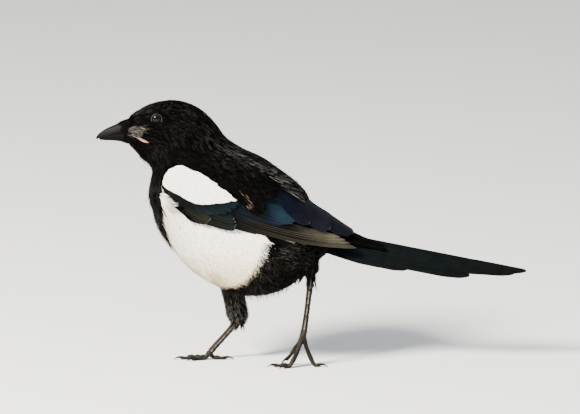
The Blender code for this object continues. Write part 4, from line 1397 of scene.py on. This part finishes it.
# %% Tail coverts
# x, y, z of a cone's middle, its half depth and its half width
UPPER_ROOT = (
    (2.0, 0.0, 134.0, 12.0, 17.0),
    (20.0, 0.0, 127.6, 8.6, 14.0),
    (42.0, 0.0, 119.8, 5.0, 11.0),
    (62.0, 0.0, 114.0, 2.6, 8.0),
)
UNDER_ROOT = (
    (-12.0, 0.0, 116.0, 16.0, 13.0),
    (14.0, 0.0, 118.0, 9.5, 8.5),
    (38.0, 0.0, 113.5, 6.0, 6.0),
    (60.0, 0.0, 108.5, 3.0, 3.2),
)


def covert_tufts(width):
    """Sizes that differ a little from tuft to tuft, with this width."""

    def sizes(u, count):
        """The same at every share of the cone."""
        return {
            "length": 13.0 * varied(count, 0.15),
            "width": width * varied(count, 0.15),
            "veer": 0.1 * rng.standard_normal(count),
            "proud": 0.6 * rng.random(count),
        }

    return sizes


for name, rows, width in (("upper", UPPER_ROOT, 3.2), ("under", UNDER_ROOT, 2.0)):
    black_core(f"{name}_tail_core", rows, 24, 32)
    sizes = covert_tufts(width)
    limb_coat(f"{name}_tail_coverts", rows, (0.0, 0.9), 0.28, black_tints(0.2), sizes, profile="web")

# %% [markdown]
# ## The bill
#
# Each half of the bill is a half oval that narrows to its ridge and is flat along the mouth. It could
# be cut from a cone, but a table of ridge, edge and width follows the curve of the ridge and the
# slant of the mouth. Horn is dense: dark, with fine streaks along its length and a soft gloss.

# %% Horn
BILL_ROOT = -172.0
# x, z of the ridge, z of the mouth's edge, half width
UPPER_BILL = (
    (-204.8, 218.2, 216.8, 0.4),
    (-203.7, 220.4, 217.2, 1.1),
    (-201.2, 222.9, 218.1, 2.0),
    (-196.4, 226.3, 220.0, 3.1),
    (-191.5, 228.7, 221.7, 4.0),
    (-186.7, 230.8, 223.3, 4.8),
    (-181.8, 233.2, 224.7, 5.5),
    (BILL_ROOT, 236.9, 226.4, 6.8),
)
LOWER_BILL = (
    (-201.6, 216.2, 217.6, 0.9),
    (-196.4, 215.7, 219.7, 2.6),
    (-191.5, 215.5, 221.4, 3.5),
    (-186.7, 215.2, 223.0, 4.3),
    (-181.8, 214.6, 224.4, 5.0),
    (BILL_ROOT, 212.2, 226.1, 6.3),
)
BILL_SHARP = 0.3  # how far the sides are drawn in beside the ridge


def horn_look(w):
    """Dark horn, paler by the product of a streaky and a broad noise; the streaks also lift the bump."""
    streaks = w.noise(260.0, 5.0, (0.25, 1.0, 1.0))
    worn = w.noise(90.0, 2.0)
    colour = (streaks.eased(0.4, 0.8) * worn).mixed((0.0018, 0.0016, 0.0013), (0.0095, 0.0078, 0.0052))
    return {
        "Base Color": colour,
        "Roughness": streaks * 0.25 + 0.36,
        "Normal": w.bump(streaks, 0.3, 0.0003),
    }


horn = finish("bill_horn", horn_look, Specular_IOR_Level=0.035)
print("horn finish:", horn.name)


# %% Both halves of the bill
def bill_point(table, x, turn, lift=0.0):
    """Half width times the sine across, and from the mouth's edge to the ridge by the cosine."""
    ridge, edge, half_width = np.moveaxis(curve(table, x), -1, 0)
    level, across = np.cos(turn), np.sin(turn)
    width = half_width * (1 - BILL_SHARP * level * np.abs(across)) + lift
    height = edge + (ridge - edge + lift * np.sign(ridge - edge)) * level
    return stacked(x, width * across, height)


for name, table in (("bill_upper", UPPER_BILL), ("bill_lower", LOWER_BILL)):
    x = table[0][0] + (BILL_ROOT - table[0][0]) * (np.linspace(0, 1, 48) ** 1.3)
    turns = np.linspace(-math.pi / 2, math.pi / 2, 33)
    rings = bill_point(table, x[:, None], turns[None])
    half = tube(name + "_horn", rings, horn, flip=name == "bill_lower")
    half.data.set_sharp_from_angle(angle=math.radians(60))
    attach(half, "root")
    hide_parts(name)
print("bill from x =", UPPER_BILL[0][0], "mm")

# %% [markdown]
# ## Eyes
#
# The eye is a dark brown iris around a black pupil, under a wet clear cornea. The cornea could be a
# second shell of glass, but a clear coat on the shader gives the same bright spot with one piece
# less. The lid is a thin wrinkled ring of bare grey skin, paler below, that lies on the eyeball,
# slightly tilted.

# %% How far out the eye sits
EYE_RADIUS = 5.6
EYE_SUNK = 4.6  # how far its middle lies inside the skin


def skin_height(x, z):
    """Half the body's width straight across from a point of the side view, found on a fine grid."""
    grid = body_point(np.linspace(0, LAST_SECTION, 700)[:, None], np.linspace(0, math.pi, 360)[None])
    gap = np.hypot(grid[..., 0] - x, grid[..., 2] - z)
    return float(grid[..., 1].ravel()[np.argmin(gap)])


EYE_SIDE = skin_height(*EYE_PLACE)
print("eyes at half width", round(EYE_SIDE, 1), "mm")


# %% Finishes of the eye and its lid
def eye_look(w):
    """By the distance from the eye's axis: pupil below 0.48, fibrous iris, and a dark rim above 0.82."""
    far = w.value("off_axis")
    fibres = w.noise(1500.0, 4.0)
    iris = fibres.eased(0.3, 0.7).mixed((0.003, 0.0017, 0.0012), (0.011, 0.006, 0.0042))
    pupil = far.eased(0.46, 0.50).mixed((0.001, 0.001, 0.001), iris)
    return {"Base Color": far.eased(0.78, 0.86).mixed(pupil, (0.004, 0.004, 0.004))}


def lid_look(w):
    """Dark wrinkled skin on the upper lid, mixed towards a paler one on the lower lid."""
    folds = w.noise(1200.0, 3.0)
    above = folds.eased(0.35, 0.65).mixed((0.004, 0.004, 0.004), (0.022, 0.020, 0.018))
    below = folds.eased(0.35, 0.65).mixed((0.024, 0.022, 0.019), (0.10, 0.092, 0.078))
    return {"Base Color": w.value("below").mixed(above, below), "Normal": w.bump(folds, 0.5, 0.0004)}


wet = {"Coat_Weight": 0.3, "Coat_Roughness": 0.03}
eye_finish = finish("wet_eye", eye_look, Roughness=0.5, Specular_IOR_Level=0.0, **wet)
lid_finish = finish("lid_skin", lid_look, Roughness=0.5)
print("eye finishes:", eye_finish.name, lid_finish.name)


# %% An eyeball
def eyeball(side_name, side):
    """A ball by the turn from its axis and round it, whose front bulges a little as the cornea does."""
    polar = np.linspace(0.02, math.pi - 0.02, 48)[:, None]
    turns = circle(64)[None]
    bulge = EYE_RADIUS + 0.35 * np.exp(-((polar / 0.75) ** 4))
    ball = stacked(
        EYE_PLACE[0] + bulge * np.sin(polar) * np.cos(turns),
        side * (EYE_SIDE - EYE_SUNK) + side * bulge * np.cos(polar),
        EYE_PLACE[1] + bulge * np.sin(polar) * np.sin(turns),
    )
    eye = tube(f"eyeball_{side_name}", ball, eye_finish, flip=side > 0)
    add_values(eye, "off_axis", np.broadcast_to(np.sin(polar) + (polar > 1.57), ball.shape[:2]).ravel())
    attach(eye, "root")
    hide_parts(f"eye_{side_name}")


print("eyeballs of radius", EYE_RADIUS, "mm")

# %% Lids, and both eyes
LID_RADIUS = 5.0  # of the ring's middle


def eyelid(side_name, side):
    """A thin ring with nine faint wrinkles, that leans inwards at the top by the sine of the way round."""
    round_ring, section = circle(96)[:, None], circle(14)[None]
    radius = LID_RADIUS + 0.19 * np.cos(section) + 0.04 * np.sin(9 * round_ring)
    out = side * (EYE_SIDE - 0.35 + 0.3 * np.sin(section) - 0.09 * radius * np.sin(round_ring - 0.3))
    x, z = EYE_PLACE[0] + radius * np.cos(round_ring), EYE_PLACE[1] + radius * np.sin(round_ring) * 0.97
    lid_grid = stacked(x, out, z)
    rows, around = lid_grid.shape[:2]
    faces = ring_faces(rows, around, capped=False)
    first = np.arange(around)
    last = (rows - 1) * around + first
    faces.append(np.stack([last, first, np.roll(first, -1), np.roll(last, -1)], -1))
    if side > 0:
        faces = [f[:, ::-1] for f in faces]
    lid = mesh_piece(f"lid_{side_name}", lid_grid, faces, lid_finish)
    add_values(lid, "below", np.broadcast_to(0.5 - 0.5 * np.sin(round_ring), (rows, around)).ravel())
    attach(lid, "root")


for side_name, side in SIDES.items():
    eyeball(side_name, side)
    eyelid(side_name, side)
print("lids of radius", LID_RADIUS, "mm")

# %% [markdown]
# ## Bristles and the corner of the mouth
#
# Stiff bristly feathers lie forward over the nostrils and the base of the bill. Behind them a few
# pale shafts cross the cheek, and bare pink skin shows at the corner of the mouth. The bristles
# could be drawn on the horn, but in profile they break its outline, so they grow from the bill's own
# surface, and the shafts from the body's. The fold of skin is a flattened tube along the mouth.


# %% Bristles over the nostrils and the chin
def bristle_coat(name, table, forward, density, brown):
    """Slivers that start behind the bill's root and lie forwards over it, shorter towards the mouth."""

    def cover(ahead, turn, lift=0.0):
        """The bill's surface, a little outside it, with ahead in millimetres forwards."""
        return bill_point(table, BILL_ROOT + 3.0 - ahead, turn, lift + 0.4)

    spans = ((0.0, 8.0), (-1.62, 1.62))
    u, v = scattered(cover, *spans, density)
    count = len(u)
    shape = {"sink": 1.0}
    shape["length"] = (forward - 0.5 * u) * (1 - 0.45 * np.abs(v) / 1.6) * (0.15 + 0.95 * rng.random(count))
    tints = black_tints(brown, (0.12, 0.10, 0.08))(cover(u, v), count)
    shape["width"] = 0.42 * varied(count, 0.2)
    shape["veer"] = 0.14 * rng.standard_normal(count)
    shape["proud"] = 0.5 * rng.random(count)
    coat_piece(name, cover, u, v, spans, tints, black_coat, **shape)


bristle_coat("nostril_bristles", UPPER_BILL, 14.0, 3.6, 0.7)
bristle_coat("chin_bristles", LOWER_BILL, 9.0, 2.6, 1.2)

# %% Worn shafts before the eye
LORE = ((-178, 222), (-170, 220.5), (-165, 222), (-163, 227), (-170, 229), (-178, 229))
LORE_LINE = ((-173, 228), (-160, 228.6), (-160, 230.2), (-173, 230.2))


def on_cheek(outline):
    """Roots inside an outline of the side view, more than 3 mm from the bird's middle."""
    return lambda root, turn: inside(outline, root[:, 0], root[:, 2]) & (np.abs(root[:, 1]) > 3)


lore_tints = faded_tints(2.0, BLACK, (0.27, 0.25, 0.21), 0.5)  # from black to a pale horn grey
for name, outline, density, length in (("lore_shafts", LORE, 2.2, 5.5), ("lore_line", LORE_LINE, 1.0, 9.0)):
    lengths, widths = ((0.0, length), (4.0, length)), ((0.0, 0.24), (4.0, 0.24))
    body_coat(name, (0.0, 4.0), density, on_cheek(outline), lore_tints, lengths, widths, proud=0.6)

# %% The corner of the mouth
# share of the way from the bill, x, z
MOUTH_CORNER = ((0.0, -170.0, 221.6), (0.35, -164.0, 219.4), (0.7, -159.0, 217.4), (1.0, -154.6, 215.9))


def gape_look(w):
    """Horn grey that turns pink 5 mm behind the bill, times a shade by fine noise."""
    grain = w.noise(400.0, 3.0)
    flush = w.node("ShaderNodeSeparateXYZ", {}, {0: w.place()}).eased(-0.165, -0.160)
    pink = flush.mixed((0.06, 0.048, 0.04), (0.33, 0.155, 0.135))
    return {"Base Color": grain.eased(0.35, 0.62).mixed((0.35,) * 3, (1.2,) * 3).times(pink)}


gape_skin = finish("gape_skin", gape_look, Roughness=0.45, Specular_IOR_Level=0.3)
for side_name, side in SIDES.items():
    share = np.linspace(0, 1, 24)
    path = curve(MOUTH_CORNER, share)
    wide = np.array([skin_height(*place) for place in path])
    middle = np.stack([path[:, 0], side * (wide + 0.15), path[:, 1]], -1)
    thick = 0.25 + 1.0 * np.sin(math.pi * share**1.4) ** 0.8
    turns = circle(16)
    fold = stacked(0 * turns, side * 0.55 * np.sin(turns), np.cos(turns))
    rings = middle[:, None] + thick[:, None, None] * fold[None]
    gape = tube(f"mouth_corner_{side_name}", rings, gape_skin, flip=side > 0)
    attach(gape, "root")
print("corners of the mouth from x =", MOUTH_CORNER[0][1], "to", MOUTH_CORNER[-1][1], "mm")

# %% [markdown]
# ## Legs
#
# The lower leg is bare, with plates across its front like tiles, and the toes have round pads at
# their joints. Plates could be a bump in the material, but their steps show along the leg's outline.
# So both are limbs like the thighs, with steps or swellings added along them, and the material only
# darkens the grooves as painted shade and draws the pale line between front and back as a painted
# highlight.

# %% Scales and claws
def scale_look(w):
    """Dark horn with a pale stripe of painted highlight down each side, and painted shade in the groove
    between plates.
    """
    grain, broad, side_highlight = w.noise(700.0, 4.0), w.noise(120.0, 2.0), w.value("side_highlight")
    shade = grain.eased(0.35, 0.75) * 0.5 + broad.eased(0.35, 0.65) * 0.5
    dark = shade.mixed((0.002, 0.0016, 0.0012), (0.022, 0.0175, 0.011))
    # The pale stripe is a painted highlight down the middle of each side.
    stripe = grain.eased(0.42, 0.6).mixed((0.02, 0.016, 0.01), (0.19, 0.155, 0.11))
    plain = side_highlight.eased(0.965, 0.999).mixed(dark, stripe)
    return {
        # Darker at the start of each plate: painted shade in the groove.
        "Base Color": (1 - w.value("groove") * 0.8).times(plain),
        "Roughness": grain * 0.3 + 0.35,
        "Normal": w.bump(grain, 0.4, 0.0004),
    }


scales = finish("leg_scales", scale_look, Specular_IOR_Level=0.1)
claw_horn = finish("claw_horn", horn_look, Specular_IOR_Level=0.08)
print("leg finishes:", scales.name, claw_horn.name)

# %% Shanks
# x, y, z of a shank's middle, its half depth and its half width
TARSUS_LEFT = (
    (-1.0, -18.0, 92.0, 3.4, 3.4),
    (-1.5, -18.0, 83.0, 3.2, 3.1),
    (-2.4, -18.0, 75.0, 2.9, 2.5),
    (-4.0, -18.0, 62.0, 2.6, 2.2),
    (-5.5, -18.0, 50.0, 2.6, 2.2),
    (-7.2, -18.0, 38.0, 2.9, 2.6),
    (-8.2, -18.0, 32.5, 3.2, 3.0),
)
TARSUS_RIGHT = (
    (-67.0, 18.0, 42.0, 3.2, 3.2),
    (-72.5, 18.0, 36.5, 3.2, 3.0),
    (-78.0, 18.0, 29.6, 2.9, 2.4),
    (-85.0, 18.0, 21.6, 2.8, 2.3),
    (-92.0, 18.0, 13.8, 2.9, 2.4),
    (-96.8, 18.0, 8.2, 3.1, 2.9),
)
PLATE_STEP = 0.4  # how far the start of a plate stands out


def scuted_rings(rows, plates, around=28):
    """A limb whose radius steps out at the start of each plate and slopes in again to the next."""
    share = np.concatenate([np.linspace(0, 1, 8 * plates + 1), (np.arange(plates) + 0.06) / plates])
    share = np.sort(share)
    within = (share * plates) % 1.0
    step = PLATE_STEP * (1 - within) * eased(within / 0.06)
    front = 0.5 + 0.5 * np.cos(circle(around))
    rings = limb_surface(rows)(share[:, None], circle(around)[None], step[:, None] * front[None])
    return rings, 1 - eased(within / 0.16)


for side_name, rows, plates in (("left", TARSUS_LEFT, 9), ("right", TARSUS_RIGHT, 8)):
    rings, grooves = scuted_rings(rows, plates)
    grid = rings.shape[:2]
    shank = tube(f"shank_{side_name}", rings, scales)
    # Where the painted highlight runs, and how deep the painted shade between the plates lies.
    add_values(shank, "side_highlight", np.broadcast_to(np.abs(np.sin(circle(grid[1]))), grid).ravel())
    add_values(shank, "groove", np.broadcast_to(grooves[:, None], grid).ravel())
    shank.data.set_sharp_from_angle(angle=math.radians(40))
    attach(shank, "root")
    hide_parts(f"tarsus_{side_name}")
    print(f"shank_{side_name}:", plates, "plates")

# %% Shapes of a toe and a claw
FRONT_BALL = (-98.0, 18.0, 6.2)
REAR_BALL = (-8.6, -18.0, 30.6)
TOE_RADIUS = 2.2
CLAW_TIP = 0.22  # the radius at a claw's tip
PAD_FLAT = 0.25  # how far the pads are pressed flat on the ground


def above_ground(rings):
    """No point lower than 0."""
    rings[..., 2] = np.maximum(rings[..., 2], 0.0)
    return rings


def toe_rings(ball_point, bearing, reach, drop, joints, count=40, around=22):
    """From the ball of the foot out and down to the ground; the radius swells at each joint."""
    t = np.linspace(0, 1, count)
    run = reach * t
    size = TOE_RADIUS * (1.08 - 0.3 * t) * (1 + 0.12 * np.cos(2 * math.pi * joints * t))
    fall = (ball_point[2] - TOE_RADIUS) * np.maximum(0.0, 1 - run / drop) ** 1.5
    heading = np.array([-math.cos(bearing), math.sin(bearing)])
    x, y = ball_point[0] + heading[0] * run, ball_point[1] + heading[1] * run
    middle = stacked(x, y, fall + size - PAD_FLAT)
    rings = limb_rings(np.column_stack([middle, size, size * 0.92]), count, around)
    ridges = 0.07 * np.sin(t * reach * 4.2)[:, None, None] * (rings - middle[:, None]) / TOE_RADIUS
    return above_ground(rings + ridges), middle, heading


def claw_rings(start, heading, length, count=24, around=16):
    """An arch that ends on the ground, its radius shrinking to a point."""
    t = np.linspace(0, 1, count)
    arch = np.sin(math.pi * t) * length * 0.17
    sink = (start[2] - 0.2) * t
    middle = start + stacked(heading[0] * length * t, heading[1] * length * t, arch - sink)
    depth, width = TOE_RADIUS * 0.62 * (1 - t) + CLAW_TIP, TOE_RADIUS * 0.5 * (1 - t) + CLAW_TIP
    return above_ground(limb_rings(np.column_stack([middle, depth, width]), count, around))


print("toes of radius", TOE_RADIUS, "mm")

# %% Build both feet
PALM_RADII = (3.3, 3.1, 3.0)
# side, ball of the foot, how far out each toe comes down to the ground
FEET = (
    ("left", REAR_BALL, (24.0, 13.0, 15.0, 12.0)),
    ("right", FRONT_BALL, (6.0, 6.0, 6.0, 6.0)),
)
for side_name, ball_point, drops in FEET:
    side = SIDES[side_name]
    # name, bearing, length, claw's length, joints
    toes = (
        ("inner", -side * math.radians(22), 17.0, 7.0, 2),
        ("middle", 0.0, 27.0, 8.5, 3),
        ("outer", side * math.radians(24), 19.0, 7.0, 3),
        ("hind", math.pi, 15.0, 9.5, 2),
    )
    for (toe_name, bearing, reach, claw_length, joints), drop in zip(toes, drops):
        rings, middle, heading = toe_rings(ball_point, bearing, reach, drop, joints)
        toe = tube(f"toe_{toe_name}_{side_name}", rings, scales)
        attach(toe, "root")
        rings = claw_rings(middle[-3], heading, claw_length)
        claw = tube(f"claw_{toe_name}_{side_name}_horn", rings, claw_horn)
        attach(claw, "root")
        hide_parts(f"claw_{toe_name}_{side_name}")
    polar, turns = np.linspace(0.05, math.pi - 0.05, 18)[:, None], circle(24)[None]
    palm_grid = stacked(
        ball_point[0] + PALM_RADII[0] * np.sin(polar) * np.cos(turns),
        ball_point[1] + PALM_RADII[1] * np.sin(polar) * np.sin(turns),
        ball_point[2] + PALM_RADII[2] * np.cos(polar),
    )
    palm = tube(f"palm_{side_name}", palm_grid, scales)
    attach(palm, "root")
    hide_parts(f"foot_{side_name}")
    print(f"foot_{side_name}:", len(toes), "toes")

# %% [markdown]
# ## Floor, light and camera
#
# A pale floor and a large soft lamp from the upper left, as low sun through thin cloud, with a
# gentle fill from all round. A weak second lamp opens the shadows. It is left out of reflections,
# since it would lie as a grey film on the pupil. A long lens from six metres away keeps the bird
# nearly square on, where a short lens would swell the near wing.


# %% Floor
def floor_look(w):
    """A faint mix of two pale greys by broad noise."""
    cloud = w.noise(6.0, 2.0)
    return {"Base Color": cloud.mixed((0.74, 0.74, 0.725), (0.78, 0.78, 0.765))}


floor_finish = finish("pale_floor", floor_look, Roughness=0.9)
FLOOR_HALF = 20000.0
corners = FLOOR_HALF * np.array([(-1, -1, 0), (1, -1, 0), (1, 1, 0), (-1, 1, 0)])
floor = mesh_piece("floor", corners, [np.arange(4)[None]], floor_finish)
print("floor of", 2 * FLOOR_HALF * MM, "metres")

# %% Sky and lamps
world = bpy.data.worlds.new("studio")
bpy.context.scene.world = world
world.use_nodes = True
sky = world.node_tree.nodes["Background"]
sky.inputs["Color"].default_value = (0.86, 0.9, 0.95, 1.0)
sky.inputs["Strength"].default_value = 0.75


def lamp(name, place, target, size, watts, colour):
    """A square area lamp whose turns point it from its place at a target."""
    light = bpy.data.lights.new(name, "AREA")
    light.size, light.energy, light.color = size, watts, colour
    holder = bpy.data.objects.new(name, light)
    bpy.context.scene.collection.objects.link(holder)
    way = np.array(target) - np.array(place)
    holder.location = place
    tilt, heading = math.atan2(math.hypot(way[0], way[1]), -way[2]), math.atan2(-way[0], way[1])
    holder.rotation_euler = (tilt, 0.0, heading)
    return holder


key = lamp("key", (-1.9, -1.7, 2.1), (-0.03, 0.0, 0.13), 0.9, 560.0, (1.0, 0.96, 0.89))
fill = lamp("fill", (1.8, -2.2, 1.2), (0.0, 0.0, 0.13), 1.8, 50.0, (0.9, 0.95, 1.0))
fill.visible_glossy = False
print("lamps:", key.name, fill.name)

# %% Camera
LOOK_AT = (-0.0209, 0.0, 0.1514)
ELEVATION = math.radians(10.0)
DISTANCE = 6.0
FRAME_WIDTH = 0.551  # metres across the picture at the bird
SENSOR_WIDTH = 36.0
lens = bpy.data.cameras.new("camera")
lens.sensor_width = SENSOR_WIDTH
lens.lens = SENSOR_WIDTH * DISTANCE / FRAME_WIDTH
lens.clip_end = 100.0
camera = bpy.data.objects.new("camera", lens)
camera.location = (
    LOOK_AT[0],
    LOOK_AT[1] - DISTANCE * math.cos(ELEVATION),
    LOOK_AT[2] + DISTANCE * math.sin(ELEVATION),
)
camera.rotation_euler = (math.pi / 2 - ELEVATION, 0.0, 0.0)
bpy.context.scene.collection.objects.link(camera)
bpy.context.scene.camera = camera
print("lens of", round(lens.lens), "mm")
